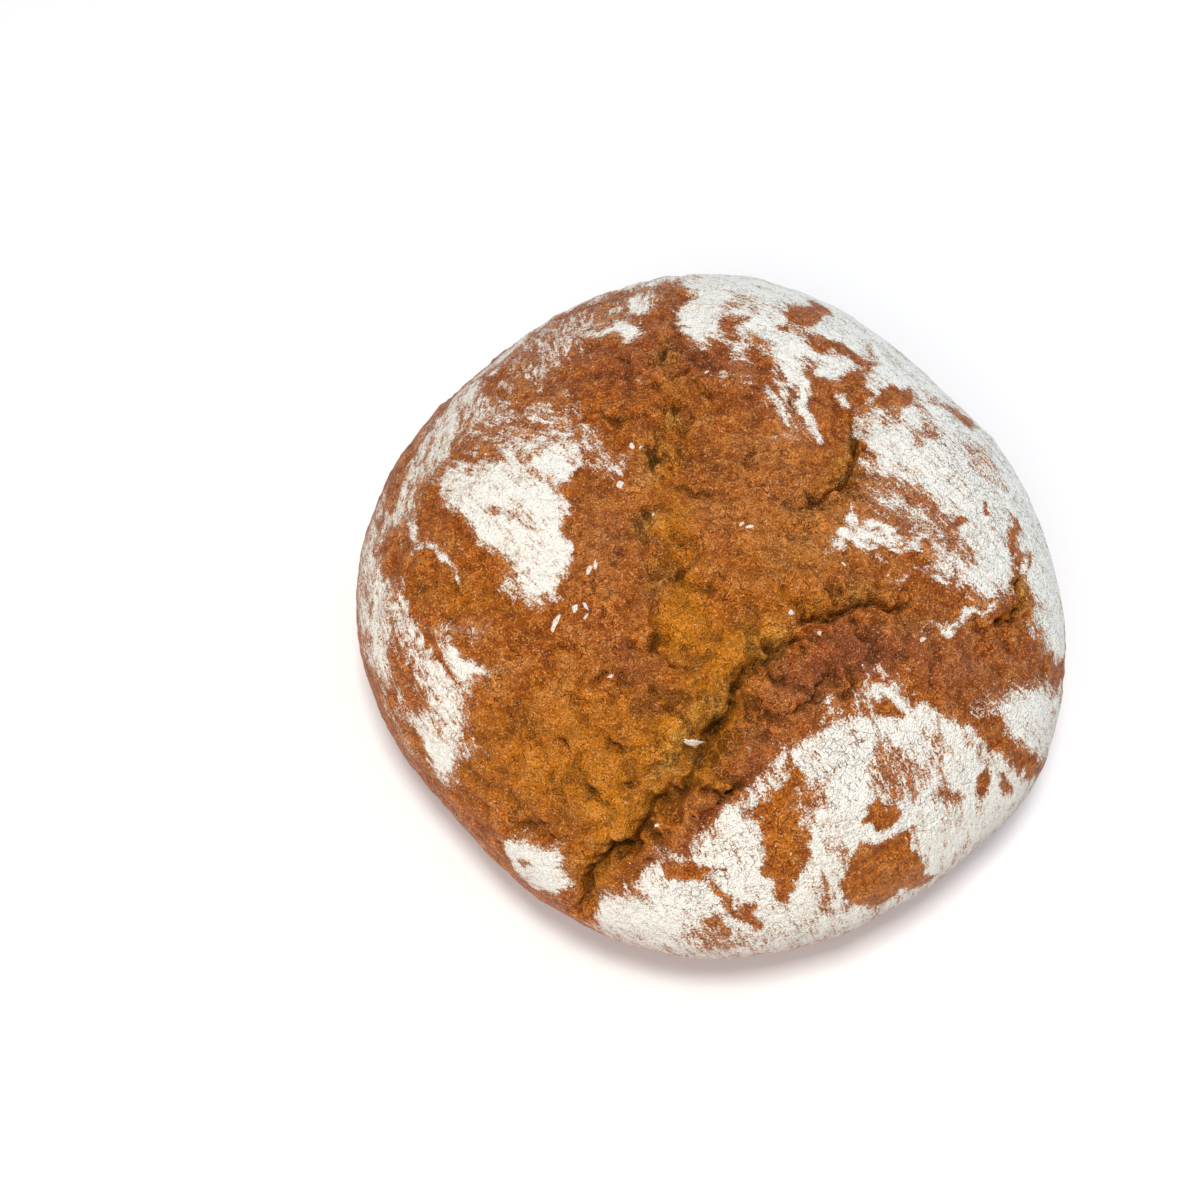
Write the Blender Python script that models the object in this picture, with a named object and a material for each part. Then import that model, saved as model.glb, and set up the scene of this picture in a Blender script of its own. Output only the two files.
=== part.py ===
"""A round farmhouse loaf: one closed body with a domed, torn crust and a flat base.

Lengths are in metres and +Z is up. The origin is the centre of the base, at the bottom.
Places on the crust are east and north of the crown, measured over the crust.
"""

import math

import bmesh
import bpy
import numpy as np
from mathutils import Vector, noise

# Overall sizes
MM = 0.001
LOAF_HEIGHT = 0.098
MEAN_RADIUS = 0.1301
WIDEST_HEIGHT = 0.034
BASE_INSET = 0.030
DOME_ROUND_OUT = 2.35
DOME_ROUND_UP = 2.10

# Uneven outline: waves round the loaf, height of the wave and bearing of its crest in degrees
OUTLINE_SWELLS = (
    (1, 3.1 * MM, 254),
    (2, 2.8 * MM, 136),
    (3, 1.7 * MM, 92),
    (4, 2.6 * MM, 5),
    (5, 0.8 * MM, 47),
    (6, 0.6 * MM, 34),
    (8, 0.4 * MM, 29),
)

# Mesh: cells along one side of the starting cube, and the share of the half turn that the crust takes
CELLS = 26
CRUST_SHARE = 0.76

# Cells this near to a rift are split once more, in millimetres
SPLIT_REACH = 12.0

# Rifts in the crust, in millimetres: east, north, depth, width on the left of the line, width on its right
MAIN_RIFT = (
    (-29, -146, 2, 5, 5),
    (-27, -134, 5, 8, 5),
    (-25, -124, 6, 9, 5),
    (-20, -114, 8, 12, 4),
    (-12, -111, 9, 14, 3.5),
    (-8, -102, 8, 13, 4),
    (-6, -95, 7, 12, 4),
    (0, -88, 7, 12, 5),
    (3, -77, 6, 12, 9),
    (6, -68, 6, 11, 9),
    (11, -60, 5.5, 11, 8),
    (14, -52, 5.5, 11, 4),
    (18, -43, 6, 11, 3),
    (23, -38, 6, 9, 3),
    (28, -34, 4.5, 5, 3),
    (31, -31, 1, 3, 3),
)
WAVY_RIFT = (
    (27, -22, 1, 3, 3),
    (33, -25, 4, 4, 3),
    (38, -25, 5, 5, 3),
    (42, -20, 5, 5, 3),
    (47, -16, 5, 4, 3),
    (53, -13, 4, 4, 3),
    (58, -16, 3, 3, 3),
    (65, -12, 2, 3, 3),
    (70, -13, 0, 2, 2),
)
ARC_RIFT = (
    (40, 61, 1, 2, 4),
    (43, 53, 2.5, 2, 6),
    (45, 45, 3.5, 2, 7),
    (44, 38, 3.0, 2, 7),
    (42, 30, 3.0, 2, 6),
    (37, 24, 3.0, 2, 5),
    (30, 15, 2.5, 2, 4),
    (20, 11, 1, 2, 3),
)
CROWN_SEAM = (
    (-38, 84, 0.5, 3, 3),
    (-34, 74, 1.0, 3, 3),
    (-32, 67, 1.8, 3, 3),
    (-30, 61, 0.5, 3, 3),
    (-28, 57, 1.0, 3, 3),
    (-26, 52, 0.5, 3, 3),
    (-25, 46, 1.0, 3, 3),
    (-23, 38, 1.0, 3, 3),
    (-28, 31, 0.5, 3, 4),
    (-30, 22, 1.4, 3, 3),
    (-28, 12, 0.5, 3, 3),
)
TORN_EDGE = (
    (-26, 0, 0.5, 4, 2),
    (-26, -11, 0.8, 6, 2),
    (-23, -22, 1.6, 6, 2),
    (-17, -33, 1.0, 5, 2),
    (-18, -43, 2.6, 5, 2),
    (-13, -49, 1.6, 5, 2),
    (-3, -51, 1.8, 5, 1.5),
    (4, -48, 0.3, 3, 1.5),
)
EDGE_RIFT = (
    (112, 15, 1, 3, 3),
    (108, 8, 3, 3, 3),
    (111, -1, 4, 3, 4),
    (104, -6, 3, 3, 3),
    (99, -11, 0, 3, 3),
)
RIFTS = (MAIN_RIFT, WAVY_RIFT, ARC_RIFT, CROWN_SEAM, TORN_EDGE, EDGE_RIFT)

# Shallow creases at the foot of the plates and flaps beside the rifts, given as the rifts are
CREASES = (
    ((27, -59, 1, 2, 3.5), (33, -57, 2, 2, 4), (38, -51, 2, 2, 4), (41, -42, 2, 2, 4), (40, -36, 0.4, 1, 2)),
    ((19, -44, 0.4, 1, 1), (22, -48, 1.8, 1.5, 3), (28, -48, 1.6, 1.5, 3), (34, -43, 0.4, 1, 1)),
    ((8, -88, 0.8, 2, 1), (13, -90, 2.4, 2, 1.5), (17, -87, 2.4, 2, 1.5), (19, -81, 0.8, 2, 1)),
    ((-18, -22, 0.8, 1.5, 3), (-14, -17, 2.0, 1.5, 4), (-9, -13, 1.6, 1.5, 3), (-7, -6, 0.4, 1, 2)),
    ((7, -114, 0.6, 2, 2), (-4, -108, 1.8, 2, 2), (-6, -104, 0.6, 2, 2)),
)

# The relief fades out towards the base, below this share of the widest height
FADE_SHARE = 0.3

# The left wall of a rift rolls over into it, and the right wall is steeper
LEFT_FALL = 2.0
RIGHT_FALL = 1.2

# Pits and hollows, in millimetres: east, north, half length, half width, turn in degrees, depth
PITS = (
    (-24, 38, 5, 3, 30, 2.5),
    (-29, 24, 6, 3.5, 95, 2.5),
    (-20, 15, 3.5, 3, 0, 1.5),
    (-25, -2, 4, 3, 60, 1.5),
    (-31, -97, 5.5, 3.5, -30, 3.0),
    (-76, -56, 3.5, 3, 0, 2.5),
    (-53, -115, 8, 3.5, -15, 2.0),
    (-5, -117, 3.5, 3, 0, 2.5),
    (9, -64, 6, 5, 60, 3.0),
    (27, 65, 3.5, 3, 0, 1.5),
    (-33, -60, 5, 2.5, 60, 1.5),
    (76, -98, 6, 3.5, 20, 1.5),
)

# Crags that stand up beside the rifts, in millimetres: east, north, half length, half width, turn, height
CRAGS = (
    (9, -84, 6, 3, 10, 3.0),
    (15, -71, 5, 4, 60, 1.6),
    (18, -57, 4, 4, 0, 1.4),
    (23, -46, 5, 4, 45, 1.2),
    (34, -51, 9, 6, 60, 1.2),
    (-1, -97, 5, 4, 60, 1.2),
    (44, -10, 8, 3, 25, 1.2),
    (-6, -14, 7, 4, 40, 1.0),
    (-26, -36, 6, 4, 80, 1.0),
    (-20, -55, 9, 4, -20, 1.0),
    (-48, -84, 9, 4, -20, 0.9),
    (49, 42, 8, 3, 90, 1.0),
)

# Broad swells and dips of the dome, in millimetres: east, north, radius, height
SWELLS = (
    (52, -88, 44, 3.6),
    (-78, -2, 40, 2.0),
    (-38, -78, 34, 1.8),
    (84, 62, 46, 2.2),
    (12, 98, 34, 1.6),
    (18, -10, 22, 1.6),
    (-2, -30, 20, -1.8),
    (-10, 40, 16, -1.2),
    (92, -22, 26, -2.2),
    (-100, -66, 34, 1.6),
    (-70, 70, 38, 1.2),
    (-88, -34, 20, -1.2),
    (62, 30, 16, -1.0),
)

# Lumps of the torn dough: size of a lump and height of the relief
LUMP_SIZES = ((34 * MM, 0.9 * MM), (14 * MM, 0.45 * MM))

# Near a rift the cells are drawn together: how far out, and how much at the line
GATHER_REACH = 16.0
GATHER_SHARE = 0.42


def crust_profile():
    """Mean half section from the crown to the middle of the base: distance over the crust, radius, height."""
    turn = np.linspace(0, math.pi / 2, 2000)
    dome_r = MEAN_RADIUS * np.sin(turn) ** (2 / DOME_ROUND_OUT)
    dome_z = WIDEST_HEIGHT + (LOAF_HEIGHT - WIDEST_HEIGHT) * np.cos(turn) ** (2 / DOME_ROUND_UP)
    under_r = MEAN_RADIUS - BASE_INSET * (1 - np.cos(turn))
    under_z = WIDEST_HEIGHT * (1 - np.sin(turn))
    radius = np.concatenate([dome_r, under_r[1:], [0.0]])
    height = np.concatenate([dome_z, under_z[1:], [0.0]])
    steps = np.hypot(np.diff(radius), np.diff(height))
    distance = np.concatenate([[0.0], np.cumsum(steps)])
    return distance, radius, height


def outline_share(bearing):
    """Radius of the outline at a bearing, as a share of the mean radius."""
    share = np.ones_like(bearing)
    for waves, size, crest in OUTLINE_SWELLS:
        share = share + size / MEAN_RADIUS * np.cos(waves * (bearing - math.radians(crest)))
    return share


def nearest_on_line(east, north, line):
    """Distance to a line, the near point, the side of the line (left is positive) and its values there."""
    best = np.full(east.shape, np.inf)
    near = np.zeros(east.shape + (2,))
    side = np.ones(east.shape)
    values = np.zeros(east.shape + (3,))
    for start, end in zip(line, line[1:]):
        start, end = np.array(start, float), np.array(end, float)
        run = end[:2] - start[:2]
        along = ((east - start[0]) * run[0] + (north - start[1]) * run[1]) / (run @ run)
        along = np.clip(along, 0, 1)
        foot_e = start[0] + along * run[0]
        foot_n = start[1] + along * run[1]
        away = np.hypot(east - foot_e, north - foot_n)
        closer = away < best
        cross = run[0] * (north - start[1]) - run[1] * (east - start[0])
        best = np.where(closer, away, best)
        side = np.where(closer, np.where(cross >= 0, 1.0, -1.0), side)
        near[closer] = np.stack([foot_e, foot_n], -1)[closer]
        mixed = start[2:] + along[..., None] * (end[2:] - start[2:])
        values[closer] = mixed[closer]
    return best, near, side, values


def gather(east, north):
    """Draws places on the crust towards the rifts, so that the rifts get the smaller cells."""
    for line in RIFTS:
        away, near, _, _ = nearest_on_line(east, north, line)
        pull = GATHER_SHARE + (1 - GATHER_SHARE) * np.minimum(away / GATHER_REACH, 1)
        east = near[..., 0] + (east - near[..., 0]) * pull
        north = near[..., 1] + (north - near[..., 1]) * pull
    return east, north


def line_relief(east, north, lines, left_fall):
    """Depth of the lines, in millimetres. Where two meet, the deeper one counts."""
    deepest = np.zeros(east.shape)
    for line in lines:
        away, _, side, values = nearest_on_line(east, north, line)
        depth = values[..., 0]
        width = np.where(side > 0, values[..., 1], values[..., 2])
        inward = np.clip(1 - away / width, 0, 1)
        deepest = np.maximum(deepest, depth * inward ** np.where(side > 0, left_fall, RIGHT_FALL))
    return -deepest


def spot_relief(east, north, spots):
    """Size of oval spots, such as pits and crags, in millimetres."""
    relief = np.zeros(east.shape)
    for spot_e, spot_n, half_long, half_wide, turn, size in spots:
        cos, sin = math.cos(math.radians(turn)), math.sin(math.radians(turn))
        along = ((east - spot_e) * cos + (north - spot_n) * sin) / half_long
        across = ((north - spot_n) * cos - (east - spot_e) * sin) / half_wide
        relief += size * np.exp(-(along**2 + across**2))
    return relief


def swell_relief(east, north):
    """Height of the broad swells, in millimetres."""
    relief = np.zeros(east.shape)
    for swell_e, swell_n, radius, height in SWELLS:
        away = ((east - swell_e) ** 2 + (north - swell_n) ** 2) / radius**2
        relief += height * np.exp(-2 * away)
    return relief


def lump_relief(places):
    """Height of the lumps at each place on the smooth loaf, in metres."""
    relief = np.zeros(len(places))
    for size, height in LUMP_SIZES:
        relief += [height * noise.noise(Vector(place) / size) for place in places]
    return relief


def crust_places(mesh, distance):
    """East and north of each vertex of the cube, in millimetres, and whether it is on the crust."""
    cube = np.array([vertex.co for vertex in mesh.verts])
    ball = np.tan(cube * math.pi / 4)
    ball /= np.linalg.norm(ball, axis=1)[:, None]
    bearing = np.arctan2(ball[:, 1], ball[:, 0])
    fall = np.arccos(np.clip(ball[:, 2], -1, 1)) / math.pi
    over = np.interp(fall, [0, CRUST_SHARE, 1], [0, distance[-2], distance[-1]])
    return over * np.cos(bearing) / MM, over * np.sin(bearing) / MM, over < distance[-2]


def celled_cube(distance):
    """A cube of even cells, split finer where the rifts will be, as a new bmesh."""
    mesh = bmesh.new()
    bmesh.ops.create_cube(mesh, size=2.0)
    bmesh.ops.subdivide_edges(mesh, edges=mesh.edges[:], cuts=CELLS - 1, use_grid_fill=True)
    east, north, on_crust = crust_places(mesh, distance)
    away = np.min([nearest_on_line(east, north, line)[0] for line in RIFTS], axis=0)
    near = on_crust & (away < SPLIT_REACH)
    mesh.verts.index_update()
    edges = [edge for edge in mesh.edges if all(near[vertex.index] for vertex in edge.verts)]
    bmesh.ops.subdivide_edges(mesh, edges=edges, cuts=1, use_grid_fill=True)
    return mesh


def loaf_mesh():
    """The loaf as a bmesh: the cube is rounded over, laid on the crust profile and given its relief."""
    distance, radius, height = crust_profile()
    mesh = celled_cube(distance)
    east, north, on_crust = crust_places(mesh, distance)
    drawn_east, drawn_north = gather(east, north)
    east = np.where(on_crust, drawn_east, east)
    north = np.where(on_crust, drawn_north, north)
    over = np.hypot(east, north) * MM
    bearing = np.arctan2(north, east)

    flat = np.interp(over, distance, radius) * outline_share(bearing)
    rise = np.interp(over, distance, height)
    rise[~on_crust] = 0.0
    places = np.stack([flat * np.cos(bearing), flat * np.sin(bearing), rise], axis=1)
    for vertex, place in zip(mesh.verts, places):
        vertex.co = place
    mesh.normal_update()

    relief = line_relief(east, north, RIFTS, LEFT_FALL) + line_relief(east, north, CREASES, RIGHT_FALL)
    relief += swell_relief(east, north)
    relief += spot_relief(east, north, CRAGS) - spot_relief(east, north, PITS)
    relief = MM * relief + lump_relief(places)
    relief *= np.clip(rise / (FADE_SHARE * WIDEST_HEIGHT), 0, 1)
    for vertex, lift in zip(mesh.verts, relief):
        vertex.co += vertex.normal * lift

    shaped = np.array([vertex.co for vertex in mesh.verts])
    middle = (shaped.min(axis=0) + shaped.max(axis=0)) / 2
    bmesh.ops.translate(mesh, verts=mesh.verts[:], vec=(-middle[0], -middle[1], 0))
    base = [face for face in mesh.faces if all(vertex.co.z == 0 for vertex in face.verts)]
    bmesh.ops.dissolve_faces(mesh, faces=base, use_verts=True)
    crust = [face for face in mesh.faces if any(vertex.co.z > 0 for vertex in face.verts)]
    bmesh.ops.triangulate(mesh, faces=crust)
    bmesh.ops.recalc_face_normals(mesh, faces=mesh.faces[:])
    return mesh


def crust_material():
    """Baked crust, matt and brown."""
    material = bpy.data.materials.new("crust")
    material.use_nodes = True
    shader = material.node_tree.nodes["Principled BSDF"]
    shader.inputs["Base Color"].default_value = (0.40, 0.16, 0.045, 1)
    shader.inputs["Roughness"].default_value = 0.7
    return material


def build_loaf():
    """Puts the loaf in the scene as the node loaf."""
    mesh = loaf_mesh()
    data = bpy.data.meshes.new("loaf")
    mesh.to_mesh(data)
    mesh.free()
    data.shade_smooth()
    data.materials.append(crust_material())
    bpy.context.scene.collection.objects.link(bpy.data.objects.new("loaf", data))


def main():
    for old in list(bpy.data.objects):
        bpy.data.objects.remove(old)
    build_loaf()


main()
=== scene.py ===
"""Looks of a round farmhouse loaf: torn brown crust dusted with flour, on a pale floor.

Lengths are in metres unless a name says millimetres. Places on the crust are east and north of
the crown, in millimetres, measured over the crust. South is the side that the camera looks from.
"""

import math
import random

import bmesh
import bpy
import numpy as np
from bpy.props import FloatProperty, FloatVectorProperty, IntProperty, PointerProperty
from mathutils import Matrix, Vector, noise


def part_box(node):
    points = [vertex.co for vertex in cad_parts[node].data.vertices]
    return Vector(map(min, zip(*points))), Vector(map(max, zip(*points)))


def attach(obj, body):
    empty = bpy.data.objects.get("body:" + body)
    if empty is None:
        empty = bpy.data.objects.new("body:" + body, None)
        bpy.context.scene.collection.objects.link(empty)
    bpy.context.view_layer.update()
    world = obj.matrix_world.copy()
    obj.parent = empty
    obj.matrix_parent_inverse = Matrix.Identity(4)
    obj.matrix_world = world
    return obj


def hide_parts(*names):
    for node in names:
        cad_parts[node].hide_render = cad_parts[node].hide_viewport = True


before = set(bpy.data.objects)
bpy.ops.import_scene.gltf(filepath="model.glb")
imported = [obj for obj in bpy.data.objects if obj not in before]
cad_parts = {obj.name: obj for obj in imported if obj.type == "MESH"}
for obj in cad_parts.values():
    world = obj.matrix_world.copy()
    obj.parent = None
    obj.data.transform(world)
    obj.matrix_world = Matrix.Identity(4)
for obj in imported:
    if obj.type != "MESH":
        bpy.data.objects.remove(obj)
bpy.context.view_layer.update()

bl_info = {
    "name": "Farmhouse loaf",
    "version": (1, 0, 0),
    "blender": (4, 5, 0),
    "location": "3D View > Sidebar > Loaf",
    "description": "Models a round farmhouse loaf with a torn, floured crust",
    "category": "Add Mesh",
}

MM = 0.001

# Uneven outline: waves round the loaf, height of the wave in metres and bearing of its crest in
# degrees
OUTLINE_SWELLS = (
    (1, 3.1 * MM, 254),
    (2, 2.8 * MM, 136),
    (3, 1.7 * MM, 92),
    (4, 2.6 * MM, 5),
    (5, 0.8 * MM, 47),
    (6, 0.6 * MM, 34),
    (8, 0.4 * MM, 29),
)

# Fullness of the dome's section, outwards and upwards: 2 is an ellipse, more is fuller
DOME_ROUND_OUT = 2.35
DOME_ROUND_UP = 2.10

# Shares of the starting cube's half turn that become the crown, a line on the flank, the edge of
# the base and its middle. That line lies at this share of the way over the crust
CUBE_SHARES = (0.0, 0.68, 0.82, 1.0)
TOP_SHARE = 0.74

# Cells this near to a crease, in millimetres, are split once more
CREASE_REACH = 4.5

# Points along each half of the mean half section
PROFILE_STEPS = 2000

# Within this reach of a rift, in millimetres, the cells are drawn in, at its line to this share
GATHER_REACH = 16.0
GATHER_SHARE = 0.5

# How the walls of a rift fall to its bottom: 1 is straight, more is hollowed out
LEFT_FALL = 2.0
RIGHT_FALL = 1.2

# The lips of a rift lean over it by this share of its depth, at most by this share of its width
LIP_LEAN = 0.14
LIP_LIMIT = 0.35

# Millimetres that the bottom of a full rift is sunk further, and how much deeper creases are made
CREVICE_DEPTH = 3.4
CREASE_DEEPENING = 3.1

# Below this share of the widest height the relief fades out towards the base
FADE_SHARE = 0.3

# Heights in metres between which the small lumps grow from calm to full
CALM_FLANK = (0.03, 0.065)

# Direction in degrees of the strokes of flour outside the patches
LOOSE_STROKE = -20

# Layers of noise: height, size of the lumps in millimetres, seed. Heights are in millimetres too,
# but those of UNEVEN_DEPTH are shares of a rift's depth
WANDER_EAST = ((3.4, 7, 1), (1.8, 2.6, 2))
WANDER_NORTH = ((3.4, 7, 3), (1.8, 2.6, 4))
FLOUR_WANDER_EAST = ((4.5, 9, 5), (2.6, 3.5, 6))
FLOUR_WANDER_NORTH = ((4.5, 9, 7), (2.6, 3.5, 8))
WAVES = ((0.9, 34, 0), (0.45, 14, 0))
ROUGHNESS = ((0.8, 4.2, 9), (0.75, 2.4, 10), (0.4, 1.4, 11))
UNEVEN_DEPTH = ((0.45, 11, 12),)
BLISTERS = ((4.4, 13, 13), (1.8, 6, 14))
CRUMBS = ((4.0, 6, 15),)
CRUMB_FOLDS = ((4.6, 3.4, 16),)

# Lumps and spacings of the patterns in the crust's material
BROAD_LUMP = 12 * MM
FOLD_LUMP = 6.0 * MM
CLUMP_LUMP = 3.2 * MM
MOTTLE_LUMP = 2.8 * MM
GRANULE_LUMP = 0.75 * MM
GRAIN_LUMP = 0.7 * MM
CRACK_SPACING = 3.4 * MM
PINHOLE_SPACING = 2.3 * MM
SPECK_SPACING = 0.62 * MM

# Scale of the flour's noise along its strokes, which draws it out
STROKE_STRETCH = 0.28

# Heights between which the flour changes from the flank's greyer colour, painted shade, to the
# top's, and what the flank loses
FLANK_FLOUR_RISE = (26 * MM, 58 * MM)
FLANK_FLOUR_LOSS = 0.22

# Amount of breakup that leaves the flour as thick as stated, and what a crack takes off
EVEN_BREAKUP = 1.665
CRACK_LOSS = 0.30

# Flakes: their fineness, how much longer and wider than listed they are made, and their thickness
# as a share of the listed width, which counts up to a width in millimetres
FLAKE_SUBDIVISIONS = 3
FLAKE_LONGER = 1.2
FLAKE_WIDER = 1.5
FLAKE_THICKNESS = 0.6
FLAKE_WIDE = 1.5

# Side of the square frame and the loaf's place in it, in pixels from its left and top
FRAME_SIDE = 1200
LOAF_X = 711
LOAF_Y = 564

# Heights in metres of the points that the camera and the lights face, and the floor's half side
LOAF_MIDDLE = 0.045
LIT_MIDDLE = 0.05
FLOOR_HALF_SIDE = 4.0

# Rifts: east, north, depth, width on the left of the line, width on its right, all in millimetres
MAIN_RIFT = (
    (-29, -146, 2, 5, 5),
    (-27, -134, 5, 8, 5),
    (-25, -124, 6, 9, 5),
    (-20, -114, 8, 12, 4),
    (-12, -111, 9, 14, 3.5),
    (-8, -102, 8, 13, 4),
    (-6, -95, 7, 12, 4),
    (0, -88, 7, 12, 5),
    (3, -77, 6, 12, 9),
    (6, -68, 6, 11, 9),
    (11, -60, 5.5, 11, 8),
    (14, -52, 5.5, 11, 4),
    (18, -43, 6, 11, 3),
    (23, -38, 6, 9, 3),
    (28, -34, 4.5, 5, 3),
    (31, -31, 1, 3, 3),
)
WAVY_RIFT = (
    (27, -22, 1, 3, 3),
    (33, -25, 4, 4, 3),
    (38, -25, 5, 5, 3),
    (42, -20, 5, 5, 3),
    (47, -16, 5, 4, 3),
    (53, -13, 4, 4, 3),
    (58, -16, 3, 3, 3),
    (65, -12, 2, 3, 3),
    (70, -13, 0, 2, 2),
)
ARC_RIFT = (
    (40, 61, 1, 2, 4),
    (43, 53, 2.5, 2, 6),
    (45, 45, 3.5, 2, 7),
    (44, 38, 3.0, 2, 7),
    (42, 30, 3.0, 2, 6),
    (37, 24, 3.0, 2, 5),
    (30, 15, 2.5, 2, 4),
    (20, 11, 1, 2, 3),
)
CROWN_SEAM = (
    (-38, 84, 0.3, 3, 3),
    (-34, 74, 0.8, 3, 3),
    (-32, 67, 1.8, 3, 3),
    (-30, 61, 0.4, 2, 3),
    (-28, 57, 1.0, 2, 3),
    (-26, 52, 0.3, 2, 3),
    (-25, 46, 1.0, 3, 3),
    (-23, 38, 1.0, 2, 3),
    (-28, 31, 0.5, 3, 4),
    (-30, 22, 1.4, 3, 3),
    (-28, 12, 0.3, 3, 3),
)
TORN_EDGE = (
    (-26, 0, 0.5, 4, 2),
    (-26, -11, 0.8, 6, 2),
    (-23, -22, 1.6, 6, 2),
    (-17, -33, 1.0, 5, 2),
    (-18, -43, 2.6, 5, 2),
    (-13, -49, 1.6, 5, 2),
    (-3, -51, 1.8, 5, 1.5),
    (4, -48, 0.3, 3, 1.5),
)
EDGE_RIFT = (
    (112, 15, 1, 3, 3),
    (108, 8, 3, 3, 3),
    (111, -1, 5, 3, 4),
    (104, -6, 3, 3, 3),
    (99, -11, 0, 3, 3),
)
RIFTS = (MAIN_RIFT, WAVY_RIFT, ARC_RIFT, CROWN_SEAM, TORN_EDGE, EDGE_RIFT)

# Fine creases at the foot of plates and flaps, as the rifts
CREASES = (
    ((27, -59, 0.6, 1.2, 3.5), (33, -57, 1.4, 1.2, 4), (38, -51, 1.6, 1.2, 4),
        (41, -42, 1.2, 1.2, 4), (40, -36, 0.2, 1, 2)),
    ((19, -44, 0.2, 1, 1), (22, -48, 1.3, 1.2, 3), (28, -48, 1.2, 1.2, 3), (34, -43, 0.2, 1, 1)),
    ((18, -57, 0.5, 1, 3), (24, -59, 1.2, 1, 3), (29, -61, 0.6, 1, 3)),
    ((-31, -53, 0.3, 1, 3), (-26, -56, 1.2, 1.2, 4), (-21, -58, 1.0, 1.2, 4),
        (-17, -54, 0.2, 1, 2)),
    ((-16, -58, 0.3, 1, 1), (-12, -62, 1.1, 1.2, 3), (-4, -60, 0.5, 1.2, 3)),
    ((-27, -76, 0.3, 1, 2), (-23, -79, 1.4, 1.2, 4), (-18, -80, 0.3, 1, 2)),
    ((-47, -83, 0.7, 1.2, 3), (-43, -82, 1.5, 1.2, 4), (-38, -84, 0.5, 1, 3)),
    ((-36, -62, 0.7, 1.2, 3), (-32, -59, 1.5, 1.2, 4), (-29, -57, 0.4, 1, 2)),
    ((-20, 13, 0.7, 1.2, 3), (-12, 12, 1.0, 1.2, 3), (0, 13, 0.2, 1, 1)),
    ((-18, -22, 0.7, 1.2, 3), (-14, -17, 1.6, 1.2, 4), (-9, -13, 1.2, 1.2, 3), (-7, -6, 0.3, 1, 2)),
    ((-4, -27, 0.2, 1, 1), (-1, -20, 1.0, 1.2, 3), (3, -12, 0.2, 1, 1)),
    ((33, -8, 0.2, 2, 2), (39, -10, 0.9, 1.2, 3), (40, -17, 0.8, 1.2, 3)),
    ((-63, -118, 0.5, 3, 3), (-55, -117, 1.2, 3, 3), (-46, -114, 0.9, 3, 3),
        (-38, -116, 0.2, 2, 2)),
    ((8, -88, 0.6, 2, 1), (13, -90, 2.4, 2, 1), (17, -87, 2.4, 2, 1), (19, -81, 0.6, 2, 1)),
    ((2, -92, 0.5, 1, 2), (7, -95, 1.2, 1, 3), (8, -101, 0.4, 1, 2)),
    ((7, -114, 0.3, 2, 2), (-4, -108, 1.2, 2, 1.5), (-6, -104, 0.3, 2, 2)),
    ((47, -22, 0.5, 2, 1.2), (51, -27, 1.1, 3, 1.2), (56, -28, 0.3, 2, 2)),
    ((-19, -92, 0.6, 2, 2), (-16, -93, 1.4, 2, 2), (-14, -90, 0.4, 2, 2)),
    ((3, 38, 0.2, 2, 2), (4, 31, 1.1, 1.2, 3), (5, 24, 0.3, 2, 2)),
    ((-18, 62, 0.2, 2, 2), (-17, 56, 1.0, 1.2, 2), (-15, 52, 0.2, 2, 2)),
    ((18, 62, 0.3, 1.5, 1.5), (16, 57, 0.9, 1.2, 3), (18, 52, 0.3, 1.5, 1.5)),
    ((-56, 42, 0.2, 1, 2), (-50, 38, 1.1, 1.2, 3), (-43, 38, 0.9, 1.2, 3), (-38, 42, 0.2, 1, 2)),
    ((-53, 63, 0.3, 1, 2), (-49, 66, 0.8, 1, 2), (-45, 63, 0.8, 1, 2), (-45, 58, 0.7, 1, 2),
        (-50, 56, 0.3, 1, 2)),
    ((46, -34, 0.3, 1, 2), (50, -40, 1.2, 1.2, 3), (50, -46, 1.0, 1.2, 3), (46, -50, 0.2, 1, 2)),
    ((26, -31, 0.3, 1, 2), (33, -33, 1.0, 1.2, 3), (38, -31, 0.8, 1.2, 3), (43, -33, 0.2, 1, 2)),
)

# Pits and hollows: east, north, half length, half width, turn in degrees, depth
PITS = (
    (-24, 38, 2, 1.6, 30, 2.2),
    (-24, 46, 2.2, 1.6, 80, 2.2),
    (-30, 24, 6, 2.6, 80, 4.5),
    (-20, 15, 1.8, 1.4, 0, 2.2),
    (-27, -2, 3.6, 2.2, 80, 3.4),
    (-32, 66, 2.4, 1.5, 100, 2.4),
    (-28, 56, 1.6, 1.2, 100, 2.0),
    (-25, -12, 2.2, 1.3, 100, 2.0),
    (-31, -97, 5.5, 3.5, -30, 3.0),
    (-76, -56, 3.5, 3, 0, 2.5),
    (-53, -115, 8, 3.5, -15, 2.0),
    (-5, -117, 3.5, 3, 0, 2.5),
    (9, -64, 6, 5, 60, 3.0),
    (27, 65, 3.5, 3, 0, 1.5),
    (-33, -60, 5, 2.5, 60, 1.5),
    (76, -98, 6, 3.5, 20, 1.5),
)

# Crags that stand up beside the rifts: east, north, half length, half width, turn, height
CRAGS = (
    (9, -84, 6, 3, 10, 4.2),
    (15, -71, 5, 4, 60, 1.6),
    (18, -57, 4, 4, 0, 1.4),
    (23, -46, 5, 4, 45, 1.2),
    (34, -51, 9, 6, 60, 1.2),
    (-1, -97, 5, 4, 60, 1.2),
    (44, -10, 8, 3, 25, 1.2),
    (-6, -14, 7, 4, 40, 1.0),
    (-26, -36, 6, 4, 80, 1.0),
    (-20, -55, 9, 4, -20, 1.0),
    (-48, -84, 9, 4, -20, 0.9),
    (49, 42, 8, 3, 90, 1.0),
)

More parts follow.
